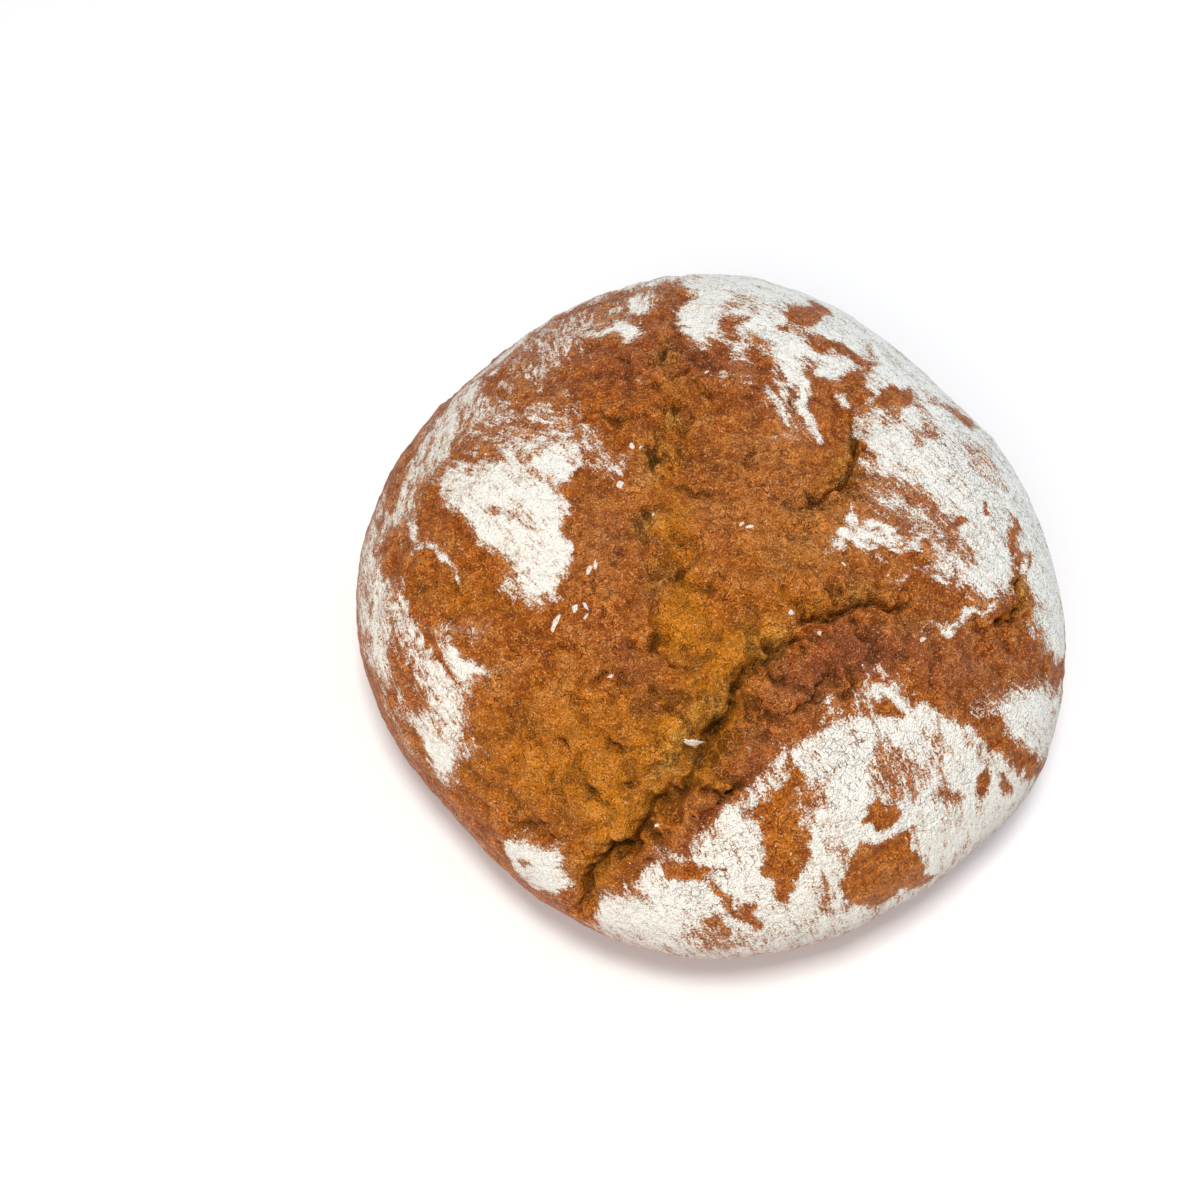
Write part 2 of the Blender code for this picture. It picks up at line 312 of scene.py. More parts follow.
# Broad swells and dips of the dome: east, north, radius, height
SWELLS = (
    (52, -88, 44, 3.6),
    (-78, -2, 40, 2.0),
    (-38, -78, 34, 1.8),
    (84, 62, 46, 2.2),
    (12, 98, 34, 1.6),
    (18, -10, 22, 1.6),
    (-2, -30, 20, -1.8),
    (-10, 40, 16, -1.2),
    (92, -22, 26, -2.2),
    (-100, -66, 34, 1.6),
    (-70, 70, 38, 1.2),
    (-88, -34, 20, -1.2),
    (62, 30, 16, -1.0),
)

# How much softer than stated the flour's edges are
FLOUR_SPREAD = 1.5

# Floured patches: thickness of the flour, softness of the edge, direction of the strokes in
# degrees, outline
FLOUR = (
    # West, dense
    (0.77, 3, -40, ((-85, 20), (-80, 23), (-72, 18), (-66, 24), (-58, 24), (-52, 16), (-52, 10),
        (-58, 5), (-53, 0), (-52, -6), (-49, -12), (-48, -20), (-50, -28), (-56, -30), (-54, -35),
        (-60, -36), (-66, -36), (-70, -31), (-68, -24), (-72, -20), (-80, -19), (-86, -14),
        (-92, -8), (-96, -2), (-90, 4), (-88, 10), (-83, 14))),
    (0.68, 4, -20, ((-108, 8), (-104, 16), (-98, 17), (-92, 12), (-86, 18), (-84, 6), (-90, -10),
        (-97, -4), (-100, 3))),
    (0.72, 3, -42, ((-61, 41), (-57, 37), (-52, 30), (-46, 24), (-38, 19), (-40, 14), (-46, 14),
        (-53, 20), (-57, 27))),
    (0.58, 4, -10, ((-90, 24), (-80, 30), (-66, 33), (-57, 28), (-54, 20), (-62, 20), (-72, 18),
        (-86, 18))),
    (0.46, 7, -20, ((-108, 45), (-96, 48), (-80, 42), (-62, 42), (-56, 34), (-60, 24), (-92, 16),
        (-106, 18))),
    (0.47, 8, 110, ((-114, 66), (-104, 92), (-88, 106), (-62, 100), (-54, 86), (-62, 72), (-70, 58),
        (-62, 44), (-84, 46), (-90, 54), (-96, 70))),
    (0.75, 3, 115, ((-94, 59), (-91, 60), (-87, 50), (-89, 47), (-92, 52))),
    (0.60, 3, 110, ((-82, 60), (-76, 62), (-74, 55), (-79, 53))),
    (0.62, 5, 110, ((-86, 84), (-78, 88), (-76, 78), (-82, 74))),
    (0.72, 4, 100, ((-104, 46), (-101, 54), (-94, 40), (-97, 36), (-101, 39))),
    # West rim
    (0.66, 5, 60, ((-120, 64), (-106, 98), (-80, 128), (-50, 142), (-46, 124), (-74, 110),
        (-92, 86), (-106, 60))),
    (0.66, 6, 100, ((-128, 8), (-128, 40), (-122, 62), (-106, 70), (-100, 50), (-100, 34),
        (-104, 22), (-108, 8))),
    (0.66, 5, 100, ((-130, -14), (-128, 12), (-110, 10), (-111, -2), (-118, -14))),
    (0.85, 2.5, -30, ((-118, -5), (-112, -17), (-104, -20), (-96, -24), (-87, -28), (-91, -21),
        (-98, -18), (-106, -17), (-112, -9))),
    (0.68, 5, -60, ((-140, 18), (-133, -4), (-124, -22), (-115, -36), (-104, -45), (-97, -46),
        (-90, -45), (-82, -45), (-73, -44), (-73, -48), (-82, -48), (-88, -50), (-84, -54),
        (-78, -57), (-71, -62), (-76, -64), (-77, -70), (-80, -78), (-81, -86), (-73, -92),
        (-80, -94), (-85, -97), (-87, -106), (-98, -108), (-108, -100), (-116, -86), (-124, -68),
        (-136, -60), (-146, -40), (-150, -10))),
    (0.85, 4, -58, ((-125, -28), (-118, -28), (-103, -47), (-96, -50), (-88, -64), (-83, -70),
        (-80, -78), (-84, -88), (-89, -80), (-92, -70), (-100, -56), (-112, -42))),
    (0.95, 2.5, -30, ((-90, -52), (-84, -54), (-78, -57), (-71, -62), (-77, -64), (-82, -66),
        (-87, -58))),
    (0.92, 4, -35, ((-105, -84), (-98, -86), (-88, -92), (-86, -98), (-88, -106), (-98, -106),
        (-104, -98))),
    # South-west corner
    (0.95, 3, 20, ((-66, -124), (-56, -121), (-46, -120), (-38, -117), (-37, -124), (-34, -131),
        (-39, -140), (-50, -143), (-63, -136))),
    # North
    (0.84, 3.5, 20, ((-70, 80), (-55, 84), (-45, 84), (-41, 78), (-44, 73), (-50, 72), (-57, 77),
        (-66, 75))),
    (0.86, 5, 95, ((-57, 94), (-51, 104), (-44, 106), (-41, 97), (-42, 89), (-47, 86), (-53, 88))),
    (0.70, 8, 100, ((-82, 118), (-56, 132), (-26, 142), (4, 145), (2, 116), (-20, 110), (-34, 108),
        (-56, 110), (-70, 104))),
    (0.90, 4, -15, ((-24, 76), (-29, 86), (-28, 100), (-33, 112), (-28, 145), (12, 155), (50, 148),
        (70, 138), (58, 118), (46, 104), (47, 92), (43, 84), (36, 79), (34, 73), (28, 74), (22, 79),
        (17, 76), (21, 70), (23, 62), (18, 60), (12, 63), (8, 70), (2, 77), (-4, 80), (-7, 74),
        (-12, 70), (-15, 74))),
    (0.62, 4, 0, ((-11, 78), (-3, 78), (-2, 64), (-10, 63))),
    (0.55, 1.5, 0, ((-14, 62.5), (0, 62.5), (1, 60.5), (-8, 59.5), (-14, 60))),
    (1.00, 2.5, 135, ((6, 74), (12, 70), (19, 62), (24, 57), (29, 48), (30, 43), (27, 41), (22, 47),
        (19, 56), (12, 63), (6, 69))),
    (0.62, 3, 135, ((3, 62), (10, 62), (15, 58), (20, 51), (22, 45), (16, 44), (9, 48), (5, 53))),
    (0.50, 3, 30, ((8, 34), (12, 41), (22, 45), (25, 41), (14, 36))),
    (1.00, 2, 20, ((24, 82), (29, 87), (36, 84), (37, 78), (31, 74), (24, 77))),
    (1.00, 2, 20, ((34, 68), (38, 70), (42, 67), (40, 63), (36, 62))),
    # East
    (0.88, 4, -38, ((44, 64), (43, 57), (46, 50), (49, 44), (48, 39), (54, 35), (62, 30), (68, 31),
        (74, 27), (78, 21), (83, 14), (82, 5), (90, 0), (97, -2), (104, 4), (108, 9), (113, 15),
        (117, 4), (114, -5), (120, -11), (132, -12), (148, -6), (156, 30), (146, 66), (122, 100),
        (98, 122), (72, 138), (48, 130), (43, 108), (46, 98), (44, 86), (43, 76), (46, 70))),
    (0.58, 6, -28, ((50, 36), (60, 30), (72, 27), (80, 20), (80, 8), (66, 11), (52, 14), (49, 24))),
    (0.92, 1.5, 110, ((42, 20), (44, 19), (47, 12), (45, 9), (43, 14))),
    (0.90, 1.8, 10, ((50, 13), (58, 12), (66, 12), (76, 15), (80, 12), (72, 10), (62, 9),
        (50, 10))),
    (0.95, 2, -25, ((39, 8), (44, 11), (50, 8), (54, 4), (50, 2.5), (44, 5), (40, 3))),
    (0.85, 1.8, 40, ((36, 1), (40, 8), (45, 12), (47, 9), (42, 3), (38, 0))),
    (0.95, 2, -5, ((42, 11), (50, 10.5), (60, 9), (68, 10), (68, 6.5), (58, 6.5), (48, 7.5))),
    (0.90, 1.8, 15, ((53, 0), (57, -5), (66, -4), (72, 1), (82, 4), (80, 0), (70, -3), (62, -6.5),
        (56, -4), (54, -1))),
    (0.72, 4, -30, ((70, 4), (76, 14), (86, 10), (96, 2), (92, -4), (82, 0))),
    (0.90, 2, 28, ((96, -1), (92, -6), (86, -10), (78, -14), (74, -19), (81, -18), (90, -12),
        (97, -6))),
    (0.88, 5, -22, ((96, -39), (104, -35), (110, -29), (118, -25), (130, -23), (152, -20),
        (156, -52), (136, -50), (122, -50), (112, -46), (104, -43), (98, -41))),
    # South-east lobe
    (0.86, 3, -55, ((-7, -118), (-4, -110), (4, -107), (12, -98), (18, -90), (26, -79), (31, -70),
        (38, -63), (46, -59), (52, -57), (55, -52), (54, -46), (54, -40), (60, -38), (68, -41),
        (80, -44), (88, -48), (97, -49), (108, -53), (122, -57), (150, -58), (150, -90),
        (124, -122), (94, -146), (60, -162), (20, -170), (-22, -166), (-26, -150), (-25, -136),
        (-16, -130), (-8, -126))),
    (1.10, 3, -40, ((40, -63), (48, -60), (58, -60), (60, -70), (62, -80), (58, -88), (54, -94),
        (49, -88), (46, -78), (42, -70))),
    (0.96, 4, -12, ((-20, -132), (-4, -132), (10, -132), (12, -142), (0, -144), (-18, -140))),
    (0.90, 1.5, 40, ((39, -58), (41, -55), (45, -52), (47, -52), (45, -55), (41, -58))),
    (0.85, 1.5, 60, ((46, -57), (48, -52), (50, -50), (50, -54), (48, -58))),
)

# Places where the thick flour cracked: east, north, half length, half width, turn, strength
CRACKLED = (
    (12, -108, 30, 16, 30, 1.0),
    (46, -74, 26, 24, 0, 1.0),
    (30, -132, 46, 18, 10, 0.9),
    (84, -70, 30, 18, -20, 0.7),
    (112, -44, 26, 16, -20, 0.6),
    (8, 100, 46, 30, 0, 0.8),
    (92, 60, 50, 60, 0, 1.0),
    (118, 6, 16, 24, 0, 0.5),
    (-52, -128, 16, 12, 0, 0.5),
)

# Places that the flour leaves bare: how bare, softness of the edge, outline
BARE = (
    # North and east
    (0.95, 3, ((7, 91), (9, 98), (13, 108), (17, 122), (25, 120), (23, 108), (20, 97), (14, 94))),
    (0.90, 2.5, ((13, 94), (22, 93), (34, 94), (45, 93), (46, 88), (40, 84), (34, 87), (26, 86),
        (20, 89), (12, 91))),
    (1.00, 2.5, ((48, 68), (50, 76), (54, 81), (62, 80), (68, 75), (60, 71), (52, 67))),
    (0.90, 2.5, ((36, 79), (41, 78), (45, 75), (45, 67), (41, 69), (38, 73))),
    (0.80, 3, ((78, 80), (87, 88), (94, 82), (90, 77), (84, 79))),
    (0.45, 4, ((66, 84), (72, 88), (80, 86), (78, 76), (70, 76))),
    (0.42, 5, ((88, 60), (98, 60), (104, 50), (98, 42), (90, 50))),
    (0.95, 2, ((94, 34), (98, 36), (100, 31), (97, 29))),
    (0.75, 3, ((101, 30), (112, 34), (107, 25), (103, 25))),
    (0.95, 1.5, ((81, 23), (83, 26), (86, 22), (82, 19))),
    (0.85, 2, ((86, 15), (89, 10), (87, 7), (85, 11))),
    (1.00, 2.5, ((107, 13), (113, 15), (110, 9), (114, 3), (113, -4), (106, -7), (98, -10),
        (103, -1), (108, 4), (106, 9))),
    (0.70, 2, ((111, 23), (120, 23), (117, 18), (112, 20))),
    (0.90, 1.6, ((108, 14), (111, 22), (109, 30), (112, 38), (108, 40), (106, 31), (107, 22),
        (105, 15))),
    (0.50, 3, ((52, 66), (60, 70), (60, 63), (54, 62))),
    (0.40, 5, ((-18, 88), (-12, 108), (-6, 104), (-8, 84))),
    (0.80, 3, ((-14, 88), (-7, 90), (-9, 80), (-14, 80))),
    (0.75, 3, ((-20, 74), (-14, 78), (-6, 70), (-4, 60), (-14, 66))),
    (0.50, 4, ((60, 62), (70, 66), (74, 56), (66, 52))),
    # West
    (0.95, 1.5, ((-98, -47), (-93, -54), (-88, -60), (-82, -68), (-84, -68), (-91, -61), (-96, -54),
        (-99, -49))),
    (1.00, 3, ((-118, -72), (-112, -84), (-106, -96), (-99, -100), (-103, -90), (-109, -78),
        (-113, -71))),
    (0.60, 4, ((-112, -50), (-104, -54), (-98, -66), (-96, -78), (-104, -80), (-112, -70),
        (-116, -60))),
    (0.60, 3, ((-82, -4), (-76, -8), (-68, -8), (-70, -4))),
    # South-east lobe
    (0.97, 2.5, ((34, -70), (37, -76), (38, -84), (42, -92), (43, -104), (42, -110), (45, -120),
        (40, -122), (37, -112), (31, -108), (29, -98), (26, -92), (22, -91), (28, -86), (31, -78))),
    (0.70, 3, ((39, -76), (46, -76), (46, -86), (42, -88), (38, -84))),
    (1.00, 1.8, ((-3, -112), (6, -110), (14, -109), (21, -109), (16, -112), (8, -115), (1, -117))),
    (0.98, 1.8, ((11, -114), (17, -117), (24, -120), (29, -128), (24, -128), (20, -122),
        (14, -118))),
    (0.90, 2.2, ((31, -120), (37, -132), (33, -135), (28, -124))),
    (0.80, 2.2, ((20, -128), (27, -134), (24, -137), (18, -131))),
    (0.98, 1.8, ((62, -80), (70, -81), (71, -86), (66, -89), (62, -86))),
    (1.00, 2.5, ((64, -97), (72, -92), (76, -88), (82, -87), (84, -94), (90, -98), (93, -104),
        (104, -107), (96, -110), (88, -114), (80, -120), (70, -120), (63, -113), (60, -106),
        (61, -100))),
    (0.50, 4, ((60, -62), (72, -60), (80, -66), (78, -76), (70, -82), (62, -76))),
    (0.68, 3, ((82, -54), (86, -62), (92, -71), (99, -71), (94, -76), (88, -73), (83, -64),
        (80, -56))),
    (0.98, 1.5, ((103, -66), (106, -63.5), (109.5, -66), (106, -69.5))),
    (0.98, 1.8, ((110, -60), (118, -61), (123, -66), (116, -65))),
    (0.97, 2, ((94, -46), (106, -46), (116, -50), (134, -53), (128, -57), (110, -53), (98, -50))),
    (0.98, 1.8, ((57, -47), (66, -47), (73, -50), (66, -52), (60, -50))),
    (0.85, 1.8, ((56, -40), (62, -40), (61, -43), (56, -43))),
    (0.85, 1.8, ((91, -52), (100, -56), (107, -61), (98, -59))),
    (0.55, 4, ((48, -92), (56, -97), (60, -103), (50, -100))),
    (0.55, 4, ((52, -108), (58, -112), (66, -124), (56, -122))),
    (0.80, 3, ((-56, -130), (-50, -127), (-47, -130), (-53, -134))),
    (0.50, 5, ((8, -140), (22, -134), (34, -142), (20, -148))),
)

# Places where the crust is torn open and shows yellower: east, north, half length, half width,
# turn, strength
TORN = (
    (-16, -4, 12, 8, 100, 0.9),
    (-9, -38, 13, 10, 60, 1.0),
    (-12, -24, 9, 7, 70, 0.9),
    (8, -46, 20, 9, 60, 1.0),
    (-4, -74, 22, 8, 62, 1.0),
    (-14, -100, 16, 9, 60, 1.0),
    (-24, -126, 14, 8, 85, 0.8),
    (16, -38, 10, 6, 30, 0.9),
    (32, -21, 9, 4, 10, 0.7),
    (13, -63, 9, 5, 60, 1.0),
    (8, -76, 9, 4.5, 60, 0.9),
    (11, -84, 6, 4, 10, 0.9),
    (40, 32, 15, 5, 75, 0.6),
    (-24, 26, 14, 7, 90, 0.6),
    (-27, 52, 16, 5, 100, 0.45),
    (-30, -94, 16, 9, -20, 0.5),
    (-80, -104, 26, 9, -30, 0.35),
    (-85, -34, 24, 10, -10, 0.35),
    (-50, -76, 22, 14, 10, 0.35),
    (78, -106, 20, 12, 10, 0.3),
    (36, -92, 20, 6, 100, 0.3),
    (22, -5, 22, 14, 20, 0.3),
    (-24, -78, 26, 18, 20, 0.5),
    (-52, -98, 30, 14, -25, 0.55),
)

# Places beside the rifts where the torn wall is olive: east, north, half length, half width,
# turn, strength
OLIVE = (
    (24, -34, 5, 3.5, 40, 1.0),
    (16, -40, 6, 4, 60, 0.8),
    (8, -58, 7, 4, 62, 0.9),
    (0, -70, 7, 4.5, 62, 1.0),
    (-5, -82, 8, 4, 62, 0.9),
    (-11, -98, 6, 3, 60, 0.6),
    (-20, -112, 8, 3, 50, 0.6),
    (-27, -101, 5, 3, -10, 0.5),
    (-30, 22, 8, 4, 95, 0.9),
    (-25, 40, 5, 4, 30, 0.8),
    (-26, -2, 5, 4, 60, 0.8),
    (-21, -24, 4, 6, 20, 0.6),
    (47, -13, 10, 3.5, 20, 0.7),
    (40, 40, 12, 3.5, 80, 0.5),
    (-31, 66, 8, 4, 100, 0.6),
    (111, 4, 9, 3, 80, 0.9),
)

# Rugged places, where the crust broke into crumbs and lumps: east, north, half length, half
# width, turn, strength
RUGGED = (
    (11, -74, 10, 6, 62, 1.0),
    (14, -62, 9, 5, 60, 1.0),
    (2, -98, 12, 6, 55, 0.9),
    (-19, -28, 14, 5, 70, 0.8),
    (-14, -50, 12, 5, -10, 0.8),
    (-26, 34, 16, 7, 100, 0.8),
    (-30, 66, 12, 6, 100, 0.6),
    (44, -26, 14, 4, 20, 0.8),
    (34, 22, 14, 5, 45, 0.6),
    (46, 46, 14, 5, 90, 0.6),
    (112, -3, 10, 6, 70, 0.5),
    (-18, -120, 10, 5, 20, 0.6),
)

# Places that baked darker and redder: east, north, half length, half width, turn, strength
DARK_BAKED = (
    (30, -52, 17, 10, 55, 0.7),
    (44, -38, 16, 10, 30, 0.7),
    (58, -30, 18, 8, 10, 0.7),
    (88, -32, 26, 9, 0, 0.7),
    (100, -18, 20, 7, 15, 0.5),
    (10, -97, 14, 7, 60, 0.9),
    (23, -76, 11, 6, 60, 0.8),
    (60, 20, 18, 10, 0, 0.6),
    (-22, -52, 16, 7, -20, 0.6),
    (-36, -14, 18, 12, 90, 0.35),
    (-20, -30, 8, 4, 60, 0.8),
    (-12, 66, 16, 10, 0, 0.7),
    (8, 56, 12, 10, 60, 0.5),
    (-48, 62, 22, 14, 0, 0.75),
    (-28, 88, 18, 14, 90, 0.7),
    (-5, -2, 8, 6, 40, 0.5),
    (24, 66, 12, 8, 60, 0.6),
)

# Smooth places that are paler and pinker: east, north, half length, half width, turn in degrees,
# strength
RUBBED = (
    (34, 12, 26, 14, 15, 0.9),
    (24, -8, 18, 8, 10, 0.7),
    (10, 34, 20, 14, 30, 0.6),
    (48, 30, 12, 6, 80, 0.7),
    (-40, -12, 12, 24, 0, 0.7),
    (-22, -56, 18, 8, -15, 0.5),
    (36, -50, 14, 9, 45, 0.8),
    (22, -70, 10, 6, 60, 0.7),
    (66, -22, 20, 7, 5, 0.6),
    (96, -30, 20, 8, 0, 0.5),
    (-6, 6, 12, 8, 30, 0.6),
)

# Single flakes of flour on the bare crust: east, north, length, width, turn in degrees
FLAKES = (
    (-42, -22, 4.5, 1.1, 75),
    (-40.5, -21, 3.0, 0.8, 95),
    (-45.5, -37, 2.4, 1.2, 80),
    (-42, -35, 2.8, 0.8, 125),
    (-41.8, -39, 2.2, 0.7, 70),
    (-52.5, -43.5, 6.0, 1.5, 75),
    (-38.2, 10, 2.0, 1.8, 20),
    (-38.5, 27, 2.6, 1.2, 110),
    (-33.5, 27, 1.6, 0.6, 60),
    (-27, 1, 1.0, 0.9, 0),
    (26.5, -25.5, 2.2, 1.2, 30),
    (8, 1.5, 2.4, 0.9, 10),
    (5, 2.2, 1.6, 0.8, 40),
    (41, -5, 1.4, 1.0, 0),
    (36.5, -31.5, 1.3, 1.1, 0),
    (91, -50.5, 1.8, 1.2, 0),
    (70, -24, 2.0, 0.9, 40),
    (-5, -102, 1.6, 0.8, 30),
    (-29.5, -59, 1.6, 0.8, 30),
    (-17, 62, 1.6, 0.9, 60),
)

# The pale grain that sits in the main rift: east, north, length, width, turn in degrees
GRAIN = (2.6, -75.4, 5.0, 2.2, -20)


def display_colour(red, green, blue):
    """A colour given as it shows on screen, 0 to 255, as the linear colour that Blender takes."""
    shares = [value / 255 for value in (red, green, blue)]
    return tuple(s / 12.92 if s <= 0.04045 else ((s + 0.055) / 1.055) ** 2.4 for s in shares)


def colour_property(name, description, red, green, blue):
    """A colour that a user may change."""
    return FloatVectorProperty(
        name=name,
        description=description,
        subtype="COLOR",
        size=3,
        min=0,
        max=1,
        default=display_colour(red, green, blue),
    )


def length_property(name, description, default, least, most):
    """A length in metres that a user may change."""
    return FloatProperty(
        name=name, description=description, default=default, min=least, max=most, unit="LENGTH"
    )


def power_property(name, description, default):
    """The power of a light that a user may change."""
    return FloatProperty(name=name, description=description, default=default, min=0, unit="POWER")


class LoafSizes(bpy.types.PropertyGroup):
    """Sizes of the loaf."""

    height: length_property("Height", "Height of the smooth dome", 0.098, 0.05, 0.2)
    mean_radius: length_property("Mean radius", "Mean radius of the outline", 0.1301, 0.05, 0.3)
    widest_height: length_property("Widest height", "Height of the widest line", 0.034, 0.01, 0.1)
    base_inset: length_property(
        "Base inset", "How far the flat base lies inside the widest line", 0.030, 0.005, 0.08
    )
    cells: IntProperty(
        name="Cells",
        description="Cells along one side of the cube that the loaf starts from",
        default=92,
        min=12,
        max=100,
    )
    split_reach: FloatProperty(
        name="Split reach",
        description="Cells this near to a rift are split once more, in millimetres",
        default=13.0,
        min=0,
        max=30,
    )
    roughening: FloatProperty(
        name="Roughening",
        description="Height of the small lumps, as a share",
        default=1.35,
        min=0,
        max=3,
    )


class CrustColours(bpy.types.PropertyGroup):
    """Colours of the crust and the flour."""

    crust: colour_property("Crust", "Baked crust", 172, 84, 0)
    pale_crust: colour_property("Pale crust", "Lighter mottling of the crust", 196, 113, 24)
    # Colour of the paler, pinker places, also painted on the tops of the lumps as a painted
    # highlight
    pale_pink_crust: colour_property("Rubbed crust", "Tops of the lumps", 202, 129, 62)
    torn: colour_property("Torn crust", "Crust where it tore open", 218, 133, 8)
    dark_baked: colour_property("Dark baked crust", "Crust that baked redder", 165, 86, 46)
    olive: colour_property("Olive crust", "Torn wall close to a rift", 200, 148, 66)
    # Painted shade for the bottoms of the rifts, pits and creases
    painted_hollow_shade: colour_property("Hollow", "Bottom of the rifts and pits", 88, 60, 20)
    # Painted shade of the tiny pits and of the thin fold lines
    painted_crevice_shade: colour_property("Pinhole", "Tiny dark pits of the crust", 112, 50, 18)
    # Pale specks, partly painted glints, also used for painted glints on the tops of the grain
    speck_and_glint: colour_property("Speck", "Tiny pale specks of the crust", 248, 204, 156)
    flour: colour_property("Flour", "Thick flour", 255, 251, 240)
    thin_flour: colour_property("Thin flour", "Flour that the crust shows through", 204, 172, 148)
    # Painted shade: the thick flour low on the loaf is greyer
    shaded_flank_flour: colour_property("Flank flour", "Flour low on the loaf", 222, 212, 208)
    # Cracks in the thick flour show the crust, darkened as painted shade
    crack: colour_property("Crack", "Cracks in the thick flour", 104, 84, 60)
    sole: colour_property("Sole", "Floury underside", 176, 128, 80)


class StageSettings(bpy.types.PropertyGroup):
    """Floor, light and camera."""

    key_power: power_property("Key light", "Power of the key light", 9.5)
    fill_power: power_property("Fill light", "Power of the fill light", 5.6)
    front_power: power_property("Front light", "Power of the soft light in front", 6.4)
    room_light: FloatProperty(
        name="Room light", description="Strength of the even light", default=0.34, min=0, max=3
    )
    elevation: FloatProperty(
        name="Camera elevation",
        description="How steeply the camera looks down",
        default=math.radians(68),
        subtype="ANGLE",
    )
    distance: length_property(
        "Camera distance", "From the camera to the loaf's middle", 0.617, 0.3, 5.0
    )
    lens: FloatProperty(
        name="Lens", description="Focal length in millimetres", default=50.0, min=10, max=200
    )


# Shape of the loaf


def smooth_step(value, low, high):
    """0 below low, 1 above high, and a smooth rise between."""
    share = np.clip((value - low) / (high - low), 0, 1)
    return share * share * (3 - 2 * share)


def crust_profile(sizes):
    """Mean half section from the crown to the middle of the base: way over it, radius, height."""
    turn = np.linspace(0, math.pi / 2, PROFILE_STEPS)
    dome = sizes.height - sizes.widest_height
    dome_r = sizes.mean_radius * np.sin(turn) ** (2 / DOME_ROUND_OUT)
    dome_z = sizes.widest_height + dome * np.cos(turn) ** (2 / DOME_ROUND_UP)
    under_r = sizes.mean_radius - sizes.base_inset * (1 - np.cos(turn))
    under_z = sizes.widest_height * (1 - np.sin(turn))
    radius = np.concatenate([dome_r, under_r[1:], [0.0]])
    height = np.concatenate([dome_z, under_z[1:], [0.0]])
    steps = np.hypot(np.diff(radius), np.diff(height))
    return np.concatenate([[0.0], np.cumsum(steps)]), radius, height


def outline_share(bearing, mean_radius):
    """Radius of the outline at a bearing, as a share of the mean radius."""
    share = np.ones_like(bearing)
    for waves, size, crest in OUTLINE_SWELLS:
        share = share + size / mean_radius * np.cos(waves * (bearing - math.radians(crest)))
    return share


def on_loaf(east, north, sizes):
    """Places on the smooth loaf, in metres, for places on the crust in millimetres."""
    distance, radius, height = crust_profile(sizes)
    over = np.hypot(east, north) * MM
    bearing = np.arctan2(north, east)
    flat = np.interp(over, distance, radius) * outline_share(bearing, sizes.mean_radius)
    rise = np.where(over < distance[-2], np.interp(over, distance, height), 0.0)
    return np.stack([flat * np.cos(bearing), flat * np.sin(bearing), rise], axis=1)


def along_run(east, north, start, run):
    """How far along a run each place is, from 0 at its start to 1 at its end."""
    toward = (east - start[0]) * run[0] + (north - start[1]) * run[1]
    return np.clip(toward / (run[0] ** 2 + run[1] ** 2), 0, 1)


def nearest_on_line(east, north, line):
    """Distance to a line, the near point, its side (left is positive) and the line's values."""
    best = np.full(east.shape, np.inf)
    near = np.zeros(east.shape + (2,))
    side = np.ones(east.shape)
    values = np.zeros(east.shape + (3,))
    for start, end in zip(line, line[1:]):
        start, end = np.array(start, float), np.array(end, float)
        run = end[:2] - start[:2]
        along = along_run(east, north, start, run)
        foot_e = start[0] + along * run[0]
        foot_n = start[1] + along * run[1]
        away = np.hypot(east - foot_e, north - foot_n)
        closer = away < best
        cross = run[0] * (north - start[1]) - run[1] * (east - start[0])
        best = np.where(closer, away, best)
        side = np.where(closer, np.where(cross >= 0, 1.0, -1.0), side)
        near[closer] = np.stack([foot_e, foot_n], -1)[closer]
        values[closer] = (start[2:] + along[..., None] * (end[2:] - start[2:]))[closer]
    return best, near, side, values


def nearest_of(east, north, lines):
    """Distance to the nearest of several lines."""
    return np.min([nearest_on_line(east, north, line)[0] for line in lines], axis=0)


def gather(east, north):
    """Draws places on the crust towards the rifts, so that the rifts get the smaller cells."""
    for line in RIFTS:
        away, near, _, _ = nearest_on_line(east, north, line)
        pull = GATHER_SHARE + (1 - GATHER_SHARE) * np.minimum(away / GATHER_REACH, 1)
        east = near[..., 0] + (east - near[..., 0]) * pull
        north = near[..., 1] + (north - near[..., 1]) * pull
    return east, north


def clouds(places, size, seed):
    """Smooth noise between about -1 and 1 at places in metres, with lumps of a size in metres."""
    moved = places / size + (seed * 7.3, seed * 3.1, seed * 5.7)
    return np.array([noise.noise(place) for place in moved.tolist()])


def layered(places, layers, folded=False):
    """Sum of layers of smooth noise. Folded layers have sharp valleys and no height below 0."""
    total = np.zeros(len(places))
    for height, lump, seed in layers:
        layer = clouds(places, lump * MM, seed)
        total += height * (np.abs(layer) if folded else layer)
    return total


def line_relief(east, north, lines, left_fall):
    """Depth of the lines, in millimetres, and how far each place leans over them."""
    deepest = np.zeros(east.shape)
    lean = np.zeros(east.shape + (2,))
    for line in lines:
        away, near, side, values = nearest_on_line(east, north, line)
        depth = values[..., 0]
        width = np.where(side > 0, values[..., 1], values[..., 2])
        inward = np.clip(1 - away / width, 0, 1)
        deepest = np.maximum(deepest, depth * inward ** np.where(side > 0, left_fall, RIGHT_FALL))
        narrow = np.minimum(values[..., 1], values[..., 2])
        on_lip = np.exp(-((away / narrow - 1.0) ** 2) * 3) * (width <= narrow + 0.01)
        towards = np.stack([near[..., 0] - east, near[..., 1] - north], -1)
        towards = towards / np.maximum(away, 0.3)[..., None]
        lean += towards * (on_lip * np.minimum(LIP_LEAN * depth, LIP_LIMIT * narrow))[..., None]
    return deepest, lean


def near_lines(east, north, lines, reach, full_depth):
    """How close a place is to a line, from 0 to 1. A line of the full depth counts fully."""
    closest = np.zeros(east.shape)
    for line in lines:
        away, _, _, values = nearest_on_line(east, north, line)
        wide = reach + 0.15 * values[..., 0]
        counted = smooth_step(values[..., 0], 0.1, full_depth)
        closest = np.maximum(closest, counted * np.exp(-((away / wide) ** 2)))
    return closest


